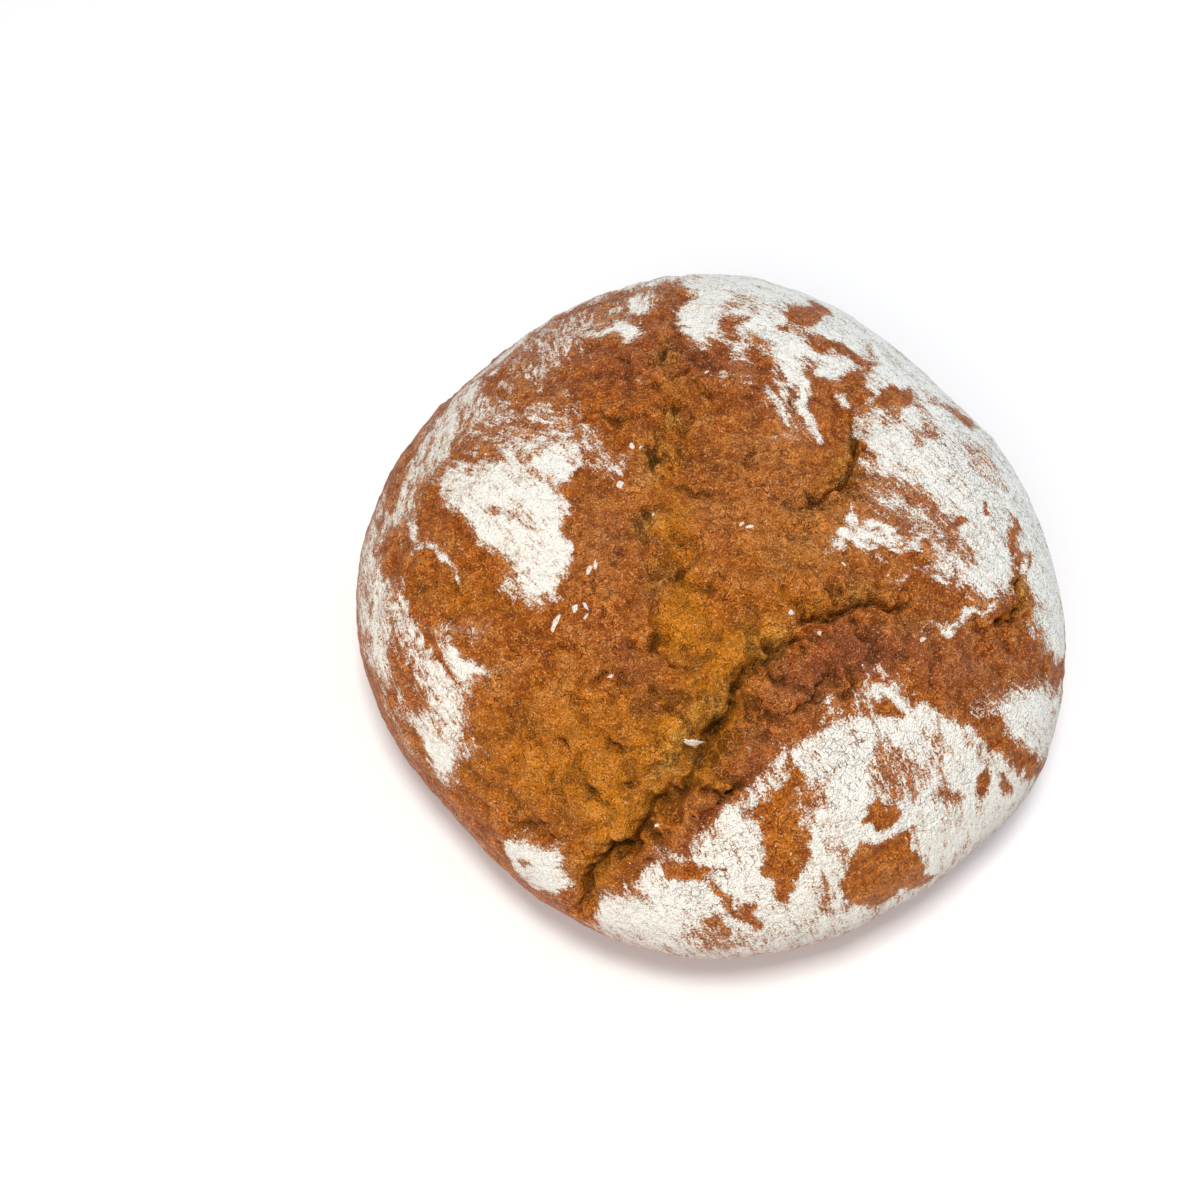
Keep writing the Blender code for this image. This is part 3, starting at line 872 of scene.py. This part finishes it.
def spot_field(east, north, spots):
    """Sum of oval spots, such as pits and crags."""
    field = np.zeros(east.shape)
    for spot_e, spot_n, half_long, half_wide, turn, size in spots:
        cos, sin = math.cos(math.radians(turn)), math.sin(math.radians(turn))
        along = ((east - spot_e) * cos + (north - spot_n) * sin) / half_long
        across = ((north - spot_n) * cos - (east - spot_e) * sin) / half_wide
        field += size * np.exp(-(along**2 + across**2))
    return field


def swell_relief(east, north):
    """Height of the broad swells, in millimetres."""
    relief = np.zeros(east.shape)
    for swell_e, swell_n, radius, height in SWELLS:
        away_squared = (east - swell_e) ** 2 + (north - swell_n) ** 2
        relief += height * np.exp(-2 * away_squared / radius**2)
    return relief


def inside_by(east, north, outline):
    """How far a place is inside an outline, in millimetres. It is negative outside."""
    away = np.full(east.shape, np.inf)
    inside = np.zeros(east.shape, bool)
    for start, end in zip(outline, outline[1:] + outline[:1]):
        run_e, run_n = end[0] - start[0], end[1] - start[1]
        along = along_run(east, north, start, (run_e, run_n))
        off_e, off_n = east - start[0] - along * run_e, north - start[1] - along * run_n
        away = np.minimum(away, np.hypot(off_e, off_n))
        if run_n != 0:
            crosses = (start[1] > north) != (end[1] > north)
            inside ^= crosses & (east < run_e * (north - start[1]) / run_n + start[0])
    return np.where(inside, away, -away)


def flour_field(east, north):
    """Thickness of the flour from 0 to 1, with and without bare places, and its strokes' turn."""
    thickness = np.zeros(east.shape)
    stroke = np.full(east.shape, math.radians(LOOSE_STROKE))
    strongest = np.zeros(east.shape)
    for density, soft, turn, outline in FLOUR:
        inside = inside_by(east, north, outline)
        share = smooth_step(inside, -FLOUR_SPREAD * soft, FLOUR_SPREAD * soft)
        thickness = np.maximum(thickness, density * share)
        nearness = density * smooth_step(inside, -8, 2)
        stroke = np.where(nearness > strongest, math.radians(turn), stroke)
        strongest = np.maximum(strongest, nearness)
    laid = thickness.copy()
    for bareness, soft, outline in BARE:
        thickness *= 1 - bareness * smooth_step(inside_by(east, north, outline), -soft, soft)
    return thickness, laid, stroke


def vertex_positions(mesh):
    """Positions of the vertices as an array."""
    return np.array([vertex.co for vertex in mesh.verts])


def place_vertices(mesh, places):
    """Moves the vertices to the places and works out their normals."""
    for vertex, place in zip(mesh.verts, places):
        vertex.co = place
    mesh.normal_update()


def crust_places(mesh, sizes):
    """East and north of each vertex of the cube, in millimetres, and whether it is on the crust."""
    distance = crust_profile(sizes)[0]
    cube = vertex_positions(mesh)
    ball = np.tan(cube * math.pi / 4)
    ball /= np.linalg.norm(ball, axis=1)[:, None]
    bearing = np.arctan2(ball[:, 1], ball[:, 0])
    fall = np.arccos(np.clip(ball[:, 2], -1, 1)) / math.pi
    reached = [0, TOP_SHARE * distance[-2], distance[-2], distance[-1]]
    over = np.interp(fall, CUBE_SHARES, reached)
    return over * np.cos(bearing) / MM, over * np.sin(bearing) / MM, over < distance[-2]


def celled_cube(sizes):
    """A cube of even cells, split finer where the rifts will be, as a new bmesh."""
    mesh = bmesh.new()
    bmesh.ops.create_cube(mesh, size=2.0)
    bmesh.ops.subdivide_edges(
        mesh, edges=mesh.edges[:], cuts=sizes.cells - 1, use_grid_fill=True
    )
    east, north, on_crust = crust_places(mesh, sizes)
    near_rift = nearest_of(east, north, RIFTS) < sizes.split_reach
    near_crease = nearest_of(east, north, CREASES) < CREASE_REACH
    near = on_crust & (near_rift | near_crease)
    mesh.verts.index_update()
    edges = [edge for edge in mesh.edges if all(near[vertex.index] for vertex in edge.verts)]
    bmesh.ops.subdivide_edges(mesh, edges=edges, cuts=1, use_grid_fill=True)
    return mesh


def small_lumps(smooth, torn, dark, rugged, laid, depth):
    """Height of the crust's blisters, broken crumbs and fine roughness, in millimetres."""
    bare = 1 - 0.75 * np.clip(laid, 0, 1)
    blisters = layered(smooth, BLISTERS, folded=True) - 1.4
    lumps = bare * (0.38 + 0.62 * torn + 0.45 * dark) * blisters
    broken = layered(smooth, CRUMBS) - layered(smooth, CRUMB_FOLDS, folded=True) + 0.8
    lumps += rugged * broken
    in_rift = smooth_step(depth, 0.5, 4)
    wild = (0.5 + 0.7 * torn + 0.45 * dark + 0.7 * rugged + 0.7 * in_rift) * bare
    lumps += wild * layered(smooth, ROUGHNESS)
    return lumps * (0.45 + 0.55 * smooth_step(smooth[:, 2], *CALM_FLANK))


def shape_loaf(mesh, sizes):
    """Rounds the cube into the loaf with its relief. Returns the fields that the crust reads."""
    east, north, on_crust = crust_places(mesh, sizes)
    drawn_east, drawn_north = gather(east, north)
    east = np.where(on_crust, drawn_east, east)
    north = np.where(on_crust, drawn_north, north)
    smooth = on_loaf(east, north, sizes)
    rough = east + layered(smooth, WANDER_EAST), north + layered(smooth, WANDER_NORTH)
    flour_east = east + layered(smooth, FLOUR_WANDER_EAST)
    flour_north = north + layered(smooth, FLOUR_WANDER_NORTH)

    torn, dark, olive, pale_pink_crust, rugged = (
        np.clip(spot_field(*rough, spots), 0, 1)
        for spots in (TORN, DARK_BAKED, OLIVE, RUBBED, RUGGED)
    )
    crackled = np.clip(spot_field(east, north, CRACKLED), 0, 1)
    depth, lean = line_relief(*rough, RIFTS, LEFT_FALL)
    crease, _ = line_relief(*rough, CREASES, RIGHT_FALL)
    pits = spot_field(*rough, PITS)
    flour, laid, stroke = flour_field(flour_east, flour_north)
    flour *= 1 - smooth_step(depth, 0.6, 2.0)

    lumps = small_lumps(smooth, torn, dark, rugged, laid, depth)
    uneven = 1 + layered(smooth, UNEVEN_DEPTH)
    relief = swell_relief(east, north) + spot_field(east, north, CRAGS) + layered(smooth, WAVES)
    relief -= pits + depth * uneven + CREASE_DEEPENING * crease
    relief -= CREVICE_DEPTH * near_lines(*rough, RIFTS, 0.7, 4.0)
    relief += sizes.roughening * (lumps - 0.3)
    fade = np.clip(smooth[:, 2] / (FADE_SHARE * sizes.widest_height), 0, 1)

    place_vertices(mesh, on_loaf(east + lean[:, 0] * fade, north + lean[:, 1] * fade, sizes))
    normals = np.array([vertex.normal for vertex in mesh.verts])
    place_vertices(mesh, vertex_positions(mesh) + normals * (MM * relief * fade)[:, None])

    cos, sin = np.cos(stroke), np.sin(stroke)
    brushed = np.stack([east * cos + north * sin, north * cos - east * sin, 10 * stroke], axis=1)
    # Painted shade: the bottoms of the rifts, pits and creases get a darker colour
    smudged = smooth_step(clouds(smooth, 6 * MM, 17), -0.45, 0.35)
    painted_hollow_shade = near_lines(*rough, RIFTS, 0.8, 3.5) * (0.45 + 0.55 * smudged)
    painted_hollow_shade = painted_hollow_shade + 0.9 * smooth_step(pits, 1.6, 2.8)
    painted_hollow_shade = np.clip(np.maximum(painted_hollow_shade, near_lines(*rough, CREASES, 0.55, 1.1)), 0, 1)
    return {
        "flour": flour,
        "torn": torn,
        "dark": dark,
        "olive": olive,
        "pale_pink_crust": pale_pink_crust,
        "crackled": crackled,
        "painted_hollow_shade": painted_hollow_shade,
        "raised": np.clip(lumps, -1.5, 1.5),
        "brushed": brushed,
    }


def seat_in_box(mesh, node):
    """Fits the mesh to the CAD node's box. Returns how far the crown's foot moved."""
    low, high = (np.array(corner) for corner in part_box(node))
    shaped = vertex_positions(mesh)
    own_low, own_high = shaped.min(axis=0), shaped.max(axis=0)
    bmesh.ops.scale(mesh, verts=mesh.verts[:], vec=(high - low) / (own_high - own_low))
    move = low - vertex_positions(mesh).min(axis=0)
    bmesh.ops.translate(mesh, verts=mesh.verts[:], vec=move)
    return Vector(move)


def finished_piece(name, mesh, material, fields=None):
    """Makes the object from the bmesh, smooth, with its material and fields."""
    data = bpy.data.meshes.new(name)
    mesh.to_mesh(data)
    mesh.free()
    data.shade_smooth()
    data.materials.append(material)
    for field, values in (fields or {}).items():
        kind, key = ("FLOAT", "value") if values.ndim == 1 else ("FLOAT_VECTOR", "vector")
        layer = data.attributes.new(field, kind, "POINT")
        layer.data.foreach_set(key, values.astype(np.float32).ravel())
    piece = bpy.data.objects.new(name, data)
    bpy.context.scene.collection.objects.link(piece)
    return piece


# Materials


class NodeSheet:
    """Adds nodes to a material, left to right."""

    def __init__(self, name):
        self.material = bpy.data.materials.new(name)
        self.material.use_nodes = True
        self.tree = self.material.node_tree
        self.shader = self.tree.nodes["Principled BSDF"]
        self.count = 0

    def node(self, kind, **settings):
        """A new node, beside the last one."""
        made = self.tree.nodes.new(kind)
        made.location = (-2600 + 180 * (self.count % 12), 900 - 260 * (self.count // 12))
        self.count += 1
        for setting, value in settings.items():
            setattr(made, setting, value)
        return made

    def put(self, value, socket):
        """Links an output to the socket, or sets the socket to a number, vector or colour."""
        if isinstance(value, bpy.types.NodeSocket):
            self.tree.links.new(value, socket)
        elif socket.type == "RGBA":
            socket.default_value = (*value, 1)
        else:
            socket.default_value = value

    def finish(self, **values):
        """Puts values into the shader's sockets. An underscore stands for a space."""
        for name, value in values.items():
            self.put(value, self.shader.inputs[name.replace("_", " ")])
        return self.material

    def math(self, operation, first, second=0.0):
        made = self.node("ShaderNodeMath", operation=operation)
        self.put(first, made.inputs[0])
        self.put(second, made.inputs[1])
        return made.outputs[0]

    def times(self, first, second):
        return self.math("MULTIPLY", first, second)

    def plus(self, first, second):
        return self.math("ADD", first, second)

    def minus(self, first, second):
        return self.math("SUBTRACT", first, second)

    def greater(self, first, second):
        return self.math("MAXIMUM", first, second)

    def blend(self, share, first, second):
        """A colour between the first and the second."""
        made = self.node("ShaderNodeMix", data_type="RGBA")
        self.put(share, made.inputs["Factor"])
        self.put(first, made.inputs["A"])
        self.put(second, made.inputs["B"])
        return made.outputs["Result"]

    def spread(self, value, low, high, to_low=0.0, to_high=1.0):
        """Takes low to to_low and high to to_high, with a smooth rise or fall between."""
        made = self.node("ShaderNodeMapRange", interpolation_type="SMOOTHSTEP")
        numbers = {"From Min": low, "From Max": high, "To Min": to_low, "To Max": to_high}
        self.put(value, made.inputs["Value"])
        for socket, number in numbers.items():
            made.inputs[socket].default_value = number
        return made.outputs["Result"]

    def field(self, name, output="Fac"):
        """One of the crust's own fields."""
        return self.node("ShaderNodeAttribute", attribute_name=name).outputs[output]

    def object_place(self):
        """The place on the piece, in metres."""
        return self.node("ShaderNodeTexCoord").outputs["Object"]

    def stretched(self, place, scale):
        """The place with its axes scaled."""
        made = self.node("ShaderNodeMapping")
        self.put(place, made.inputs["Vector"])
        made.inputs["Scale"].default_value = scale
        return made.outputs["Vector"]

    def clouds(self, place, lump, detail=2.0, roughness=0.5, output="Fac"):
        """Noise from 0 to 1 with lumps of a size in the place's unit."""
        made = self.node("ShaderNodeTexNoise")
        self.put(place, made.inputs["Vector"])
        made.inputs["Scale"].default_value = 1 / lump
        made.inputs["Detail"].default_value = detail
        made.inputs["Roughness"].default_value = roughness
        return made.outputs[output]

    def cells(self, place, size, feature="F1"):
        """Cells of a size in the place's unit."""
        made = self.node("ShaderNodeTexVoronoi", feature=feature)
        self.put(place, made.inputs["Vector"])
        made.inputs["Scale"].default_value = 1 / size
        return made.outputs

    def wandering(self, place, lump, amount):
        """The place moved about, so that patterns laid on it wander."""
        moved = self.node("ShaderNodeVectorMath", operation="MULTIPLY_ADD")
        self.put(self.clouds(place, lump, output="Color"), moved.inputs[0])
        moved.inputs[1].default_value = (amount, amount, amount)
        self.put(place, moved.inputs[2])
        return moved.outputs["Vector"]

    def spots(self, place, spacing, rarity, inner, outer):
        """Round spots of 0 to 1 in some of the cells. Rarity is the share of cells left empty."""
        cell = self.cells(place, spacing)
        parts = self.node("ShaderNodeSeparateColor")
        self.put(cell["Color"], parts.inputs["Color"])
        chosen = self.spread(parts.outputs["Red"], rarity, rarity + 0.05)
        return self.times(chosen, self.spread(cell["Distance"], inner, outer, 1, 0))

    def bump(self, height, distance, strength):
        """A normal tilted by a height, which counts a distance in metres for each 1."""
        made = self.node("ShaderNodeBump")
        made.inputs["Distance"].default_value = distance
        made.inputs["Strength"].default_value = strength
        self.put(height, made.inputs["Height"])
        return made.outputs["Normal"]


def bare_crust(sheet, colours, broad, mottle, grain, wrinkle):
    """Colour of the crust without flour: mottled, torn and baked darker, with painted shade in the
    valleys, folds, pinholes and hollows, painted highlights on the lumps and grain, and pale
    specks.
    """
    place = sheet.object_place()
    raised = sheet.field("raised")
    colour = sheet.blend(sheet.spread(mottle, 0.44, 0.70), colours.crust, colours.pale_crust)
    # Painted highlight: the tops of the lumps are made paler and pinker, as are the listed paler
    # places
    painted_lit_tops = sheet.times(sheet.spread(raised, -0.2, 0.9), sheet.spread(broad, 0.38, 0.62, 0.12, 0.75))
    pale_pink_crust = sheet.times(sheet.field("pale_pink_crust"), sheet.spread(mottle, 0.3, 0.6, 0.45, 0.95))
    colour = sheet.blend(sheet.greater(painted_lit_tops, pale_pink_crust), colour, colours.pale_pink_crust)
    torn = sheet.times(sheet.field("torn"), sheet.spread(mottle, 0.3, 0.6, 1.0, 0.70))
    colour = sheet.blend(torn, colour, colours.torn)
    dark = sheet.times(sheet.field("dark"), sheet.spread(broad, 0.3, 0.7, 0.9, 0.5))
    colour = sheet.blend(dark, colour, colours.dark_baked)
    olive = sheet.times(sheet.field("olive"), sheet.spread(mottle, 0.3, 0.7, 0.35, 0.95))
    colour = sheet.blend(olive, colour, colours.olive)

    shade = sheet.times(
        sheet.spread(broad, 0.3, 0.7, 0.79, 1.08), sheet.spread(grain, 0.26, 0.70, 0.64, 1.12)
    )
    shade = sheet.times(shade, sheet.spread(mottle, 0.25, 0.6, 0.76, 1.08))
    # Painted shade: the valleys between the lumps are darkened
    shade = sheet.times(shade, sheet.spread(raised, -0.9, 0.0, 0.60, 1.0))
    shaded = sheet.node("ShaderNodeVectorMath", operation="SCALE")
    sheet.put(colour, shaded.inputs[0])
    sheet.put(shade, shaded.inputs["Scale"])
    # Painted shade along the thin fold lines
    colour = sheet.blend(sheet.times(wrinkle, 0.62), shaded.outputs["Vector"], colours.painted_crevice_shade)

    # Painted shade: tiny pits shown as dark dots
    shaded_pinholes = sheet.spots(place, PINHOLE_SPACING, 0.55, 0.10, 0.24)
    colour = sheet.blend(sheet.times(shaded_pinholes, 0.75), colour, colours.painted_crevice_shade)
    # Painted highlights: glints on the tops of the grain, and pale specks that are partly painted
    # glints
    painted_glints = sheet.times(
        sheet.spread(grain, 0.60, 0.74, 0.0, 0.45), sheet.spread(mottle, 0.34, 0.60, 0.25, 1.0)
    )
    specks_and_glints = sheet.times(
        sheet.spots(place, SPECK_SPACING, 0.70, 0.14, 0.40),
        sheet.spread(mottle, 0.40, 0.62, 0.04, 0.80),
    )
    colour = sheet.blend(sheet.greater(painted_glints, specks_and_glints), colour, colours.speck_and_glint)
    # Painted shade: darkens the bottoms of the rifts, pits and creases
    painted_hollow_shade = sheet.times(sheet.field("painted_hollow_shade"), sheet.spread(grain, 0.35, 0.6, 0.9, 0.6))
    return sheet.blend(painted_hollow_shade, colour, colours.painted_hollow_shade)


def floured(sheet, colours, colour, flour, crackled, granules, clumps, rise):
    """Lays flour on the colour, in grains and strokes, with cracks painted darker as their shade,
    and greyer flour low on the flanks as painted shade. Returns colour and cover.
    """
    place = sheet.object_place()
    stroke_place = sheet.stretched(sheet.field("brushed", "Vector"), (STROKE_STRETCH, 1, 1))
    strokes = sheet.clouds(stroke_place, 1.4, 2, 0.65)
    banks = sheet.clouds(stroke_place, 4.5, 1, 0.5)
    flank = sheet.spread(rise, *FLANK_FLOUR_RISE, 1, 0)

    breakup = sheet.plus(sheet.times(strokes, 1.05), sheet.times(granules, 0.95))
    breakup = sheet.plus(breakup, sheet.times(clumps, 0.60))
    crumbled = sheet.times(sheet.minus(granules, 0.5), sheet.times(crackled, 0.3))
    breakup = sheet.plus(sheet.plus(breakup, crumbled), sheet.times(banks, 0.80))
    level = sheet.minus(flour, sheet.times(flank, FLANK_FLOUR_LOSS))
    level = sheet.plus(level, sheet.minus(breakup, EVEN_BREAKUP))

    net = sheet.wandering(place, 5 * MM, 5 * MM)
    edges = sheet.cells(net, CRACK_SPACING, "DISTANCE_TO_EDGE")["Distance"]
    cracks = sheet.times(
        sheet.spread(edges, 0.012, 0.055, 1.0, 0.0), sheet.spread(clumps, 0.42, 0.56)
    )
    dashes = sheet.times(
        sheet.spread(sheet.clouds(stroke_place, 0.8, 1, 0.5), 0.62, 0.70),
        sheet.spread(banks, 0.42, 0.60, 1, 0),
    )
    cracks = sheet.times(sheet.greater(cracks, dashes), crackled)
    level = sheet.minus(level, sheet.times(cracks, CRACK_LOSS))

    cover = sheet.spread(level, 0.46, 0.54)
    thick = sheet.spread(level, 0.46, 0.88)
    dusted = sheet.times(
        sheet.spread(flour, 0.10, 0.9), sheet.spread(granules, 0.35, 0.6, 0.06, 0.50)
    )
    colour = sheet.blend(dusted, colour, colours.thin_flour)
    # Painted shade: thick flour turns greyer low on the flanks
    thick_colour = sheet.blend(flank, colours.flour, colours.shaded_flank_flour)
    colour = sheet.blend(cover, colour, sheet.blend(thick, colours.thin_flour, thick_colour))
    # Cracks in thick flour: the crust shows, painted darker as their shade
    shown = sheet.times(cracks, sheet.spread(flour, 0.5, 0.9, 0.0, 0.62))
    return sheet.blend(shown, colour, colours.crack), cover


def crust_material(colours):
    """Matt brown crust, mottled and specked, with painted shade and highlights, and flour that
    breaks up into grains and strokes.
    """
    sheet = NodeSheet("crust")
    place = sheet.object_place()
    flour = sheet.field("flour")
    crackled = sheet.field("crackled")
    broad = sheet.clouds(place, BROAD_LUMP, 2)
    mottle = sheet.clouds(place, MOTTLE_LUMP, 2, 0.65)
    grain = sheet.clouds(place, GRAIN_LUMP, 1, 0.6)
    granules = sheet.clouds(place, GRANULE_LUMP, 1, 0.8)
    clumps = sheet.clouds(place, CLUMP_LUMP, 2, 0.6)
    folds = sheet.math("ABSOLUTE", sheet.minus(sheet.clouds(place, FOLD_LUMP, 2, 0.6), 0.5))
    # Thin fold lines: a bump, and painted shade in the bare crust's colour
    wrinkle = sheet.times(sheet.spread(folds, 0.0, 0.017, 1, 0), sheet.spread(broad, 0.47, 0.60))
    split = sheet.node("ShaderNodeSeparateXYZ")
    sheet.put(place, split.inputs["Vector"])
    rise = split.outputs["Z"]

    colour = bare_crust(sheet, colours, broad, mottle, grain, wrinkle)
    colour, cover = floured(sheet, colours, colour, flour, crackled, granules, clumps, rise)
    under = sheet.spread(sheet.plus(rise, sheet.times(mottle, 3 * MM)), 2.2 * MM, 5 * MM, 1, 0)
    sole = sheet.blend(sheet.spread(clumps, 0.42, 0.6), colours.sole, colours.thin_flour)
    colour = sheet.blend(under, colour, sole)

    bumps = sheet.plus(sheet.times(grain, 0.95), sheet.times(mottle, 1.5))
    creased = sheet.greater(sheet.spread(flour, 0.3, 0.8, 1, 0), sheet.times(crackled, 0.8))
    bumps = sheet.plus(bumps, sheet.times(sheet.times(wrinkle, creased), -0.7))
    bumps = sheet.plus(bumps, sheet.times(sheet.times(granules, flour), 0.4))
    return sheet.finish(
        Base_Color=colour,
        Roughness=sheet.spread(cover, 0, 1, 0.42, 0.92),
        Specular_IOR_Level=0.18,
        Normal=sheet.bump(bumps, MM, 1.0),
    )


def flour_material(colours):
    """Loose flour, matt and nearly white."""
    sheet = NodeSheet("flour")
    grain = sheet.clouds(sheet.object_place(), 0.5 * MM, 3, 0.6)
    return sheet.finish(
        Base_Color=sheet.blend(sheet.spread(grain, 0.3, 0.7), colours.thin_flour, colours.flour),
        Roughness=0.95,
        Specular_IOR_Level=0.2,
        Normal=sheet.bump(grain, 0.3 * MM, 0.6),
    )


def floor_material():
    """Plain white floor without gloss."""
    sheet = NodeSheet("floor")
    return sheet.finish(Base_Color=(1.0, 1.0, 1.0), Roughness=0.9, Specular_IOR_Level=0.0)


# Operators


def place_on_crust(crust, east, north, sizes):
    """The place and the normal of the crust at a place on the smooth loaf."""
    smooth = on_loaf(np.array([east], float), np.array([north], float), sizes)[0]
    start = Vector(smooth) + Vector(crust["crown_move"])
    found, place, normal, _ = crust.closest_point_on_mesh(start)
    if not found:
        raise RuntimeError("a flake found no crust below it")
    return place, normal


def add_flake(mesh, place, normal, size, turn, rng):
    """Adds one uneven flake, lying on the crust and sunk a little into it."""
    ball = bmesh.ops.create_icosphere(mesh, subdivisions=FLAKE_SUBDIVISIONS, radius=0.5)["verts"]
    seed = Vector((rng.uniform(0, 50), rng.uniform(0, 50), rng.uniform(0, 50)))
    bend = rng.uniform(-0.9, 0.9)
    for vertex in ball:
        coarse, fine = noise.noise(vertex.co * 3 + seed), noise.noise(vertex.co * 7 + seed)
        vertex.co *= 1 + 0.5 * coarse + 0.3 * fine
        vertex.co.y += bend * (vertex.co.x ** 2 - 0.12)
    east_run = (Vector((1, 0, 0)) - normal * normal.x).normalized()
    north_run = normal.cross(east_run)
    lay = Matrix((east_run, north_run, normal)).transposed().to_4x4()
    spin = Matrix.Rotation(math.radians(turn), 4, "Z")
    scale = Matrix.Diagonal((*size, 1))
    bmesh.ops.transform(mesh, matrix=Matrix.Translation(place) @ lay @ spin @ scale, verts=ball)


class LOAF_OT_crust(bpy.types.Operator):
    """Model the loaf with its rifts, crags and flour"""

    bl_idname = "loaf.crust"
    bl_label = "Loaf"

    def execute(self, context):
        sizes = context.scene.loaf_sizes
        mesh = celled_cube(sizes)
        fields = shape_loaf(mesh, sizes)
        move = seat_in_box(mesh, "loaf")
        bmesh.ops.triangulate(mesh, faces=mesh.faces[:])
        bmesh.ops.recalc_face_normals(mesh, faces=mesh.faces[:])
        piece = finished_piece("crust", mesh, crust_material(context.scene.crust_colours), fields)
        piece["crown_move"] = tuple(move)
        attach(piece, "root")
        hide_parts("loaf")
        return {"FINISHED"}


class LOAF_OT_flakes(bpy.types.Operator):
    """Lay loose flakes of flour on the crust"""

    bl_idname = "loaf.flakes"
    bl_label = "Flour flakes"

    def execute(self, context):
        crust = bpy.data.objects["crust"]
        rng = random.Random(11)
        mesh = bmesh.new()
        for east, north, length, width, turn in FLAKES + (GRAIN,):
            place, normal = place_on_crust(crust, east, north, context.scene.loaf_sizes)
            thick = FLAKE_THICKNESS * min(width, FLAKE_WIDE)
            size = (FLAKE_LONGER * length * MM, FLAKE_WIDER * width * MM, thick * MM)
            add_flake(mesh, place, normal, size, turn, rng)
        material = flour_material(context.scene.crust_colours)
        piece = finished_piece("flour_flakes", mesh, material)
        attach(piece, "root")
        return {"FINISHED"}


def area_light(name, place, power, size, colour):
    """A square area light that faces the loaf."""
    data = bpy.data.lights.new(name, "AREA")
    data.energy = power
    data.size = size
    data.color = colour
    light = bpy.data.objects.new(name, data)
    light.location = place
    facing = Vector((0, 0, LIT_MIDDLE)) - Vector(place)
    light.rotation_euler = facing.to_track_quat("-Z", "Y").to_euler()
    bpy.context.scene.collection.objects.link(light)


class LOAF_OT_stage(bpy.types.Operator):
    """Add the floor, the light and the camera"""

    bl_idname = "loaf.stage"
    bl_label = "Stage"

    def execute(self, context):
        scene = context.scene
        stage = scene.loaf_stage
        mesh = bmesh.new()
        bmesh.ops.create_grid(mesh, x_segments=1, y_segments=1, size=FLOOR_HALF_SIDE)
        floor = finished_piece("floor", mesh, floor_material())

        world = bpy.data.worlds.new("room")
        world.use_nodes = True
        background = world.node_tree.nodes["Background"]
        background.inputs["Color"].default_value = (1, 1, 1, 1)
        background.inputs["Strength"].default_value = stage.room_light
        scene.world = world
        area_light("key", (-0.05, -0.03, 1.27), stage.key_power, 0.28, (1.0, 0.97, 0.93))
        area_light("front", (-0.30, -1.0, 0.75), stage.front_power, 1.2, (1.0, 0.95, 0.92))
        area_light("fill", (0.65, 1.0, 0.55), stage.fill_power, 1.0, (0.42, 0.68, 1.0))
        scene.view_settings.view_transform = "Standard"
        scene.view_settings.look = "None"

        data = bpy.data.cameras.new("camera")
        data.lens = stage.lens
        data.sensor_width = 36.0
        camera = bpy.data.objects.new("camera", data)
        scene.collection.objects.link(camera)
        scene.camera = camera
        self.aim(camera, stage)
        return {"FINISHED"}

    def aim(self, camera, stage):
        """Stands the camera south of the loaf and looks down past it, so that it is off centre."""
        crown = Vector(bpy.data.objects["crust"]["crown_move"])
        target = Vector((crown.x, crown.y, LOAF_MIDDLE))
        back = Vector((0, -math.cos(stage.elevation), math.sin(stage.elevation)))
        step = camera.data.sensor_width / camera.data.lens / FRAME_SIDE * stage.distance
        up = back.cross(Vector((1, 0, 0)))
        right_by, down_by = LOAF_X - FRAME_SIDE / 2, FRAME_SIDE / 2 - LOAF_Y
        aim = target - Vector((right_by, 0, 0)) * step - up * down_by * step
        camera.location = target + back * stage.distance
        camera.rotation_euler = (aim - camera.location).to_track_quat("-Z", "Y").to_euler()


class LOAF_PT_panel(bpy.types.Panel):
    """Lists the loaf's operators, sizes and colours"""

    bl_idname = "LOAF_PT_panel"
    bl_label = "Farmhouse loaf"
    bl_space_type = "VIEW_3D"
    bl_region_type = "UI"
    bl_category = "Loaf"

    def draw(self, context):
        layout = self.layout
        scene = context.scene
        for operator in OPERATORS:
            layout.operator(operator.bl_idname)
        for group in (scene.loaf_sizes, scene.crust_colours, scene.loaf_stage):
            box = layout.box()
            for name in group.__annotations__:
                box.prop(group, name)


OPERATORS = (LOAF_OT_crust, LOAF_OT_flakes, LOAF_OT_stage)
CLASSES = (LoafSizes, CrustColours, StageSettings) + OPERATORS + (LOAF_PT_panel,)


def register():
    for made in CLASSES:
        bpy.utils.register_class(made)
    bpy.types.Scene.loaf_sizes = PointerProperty(type=LoafSizes)
    bpy.types.Scene.crust_colours = PointerProperty(type=CrustColours)
    bpy.types.Scene.loaf_stage = PointerProperty(type=StageSettings)


def unregister():
    del bpy.types.Scene.loaf_stage
    del bpy.types.Scene.crust_colours
    del bpy.types.Scene.loaf_sizes
    for made in reversed(CLASSES):
        bpy.utils.unregister_class(made)


def main():
    register()
    bpy.ops.loaf.crust()
    bpy.ops.loaf.flakes()
    bpy.ops.loaf.stage()


if __name__ == "__main__":
    main()
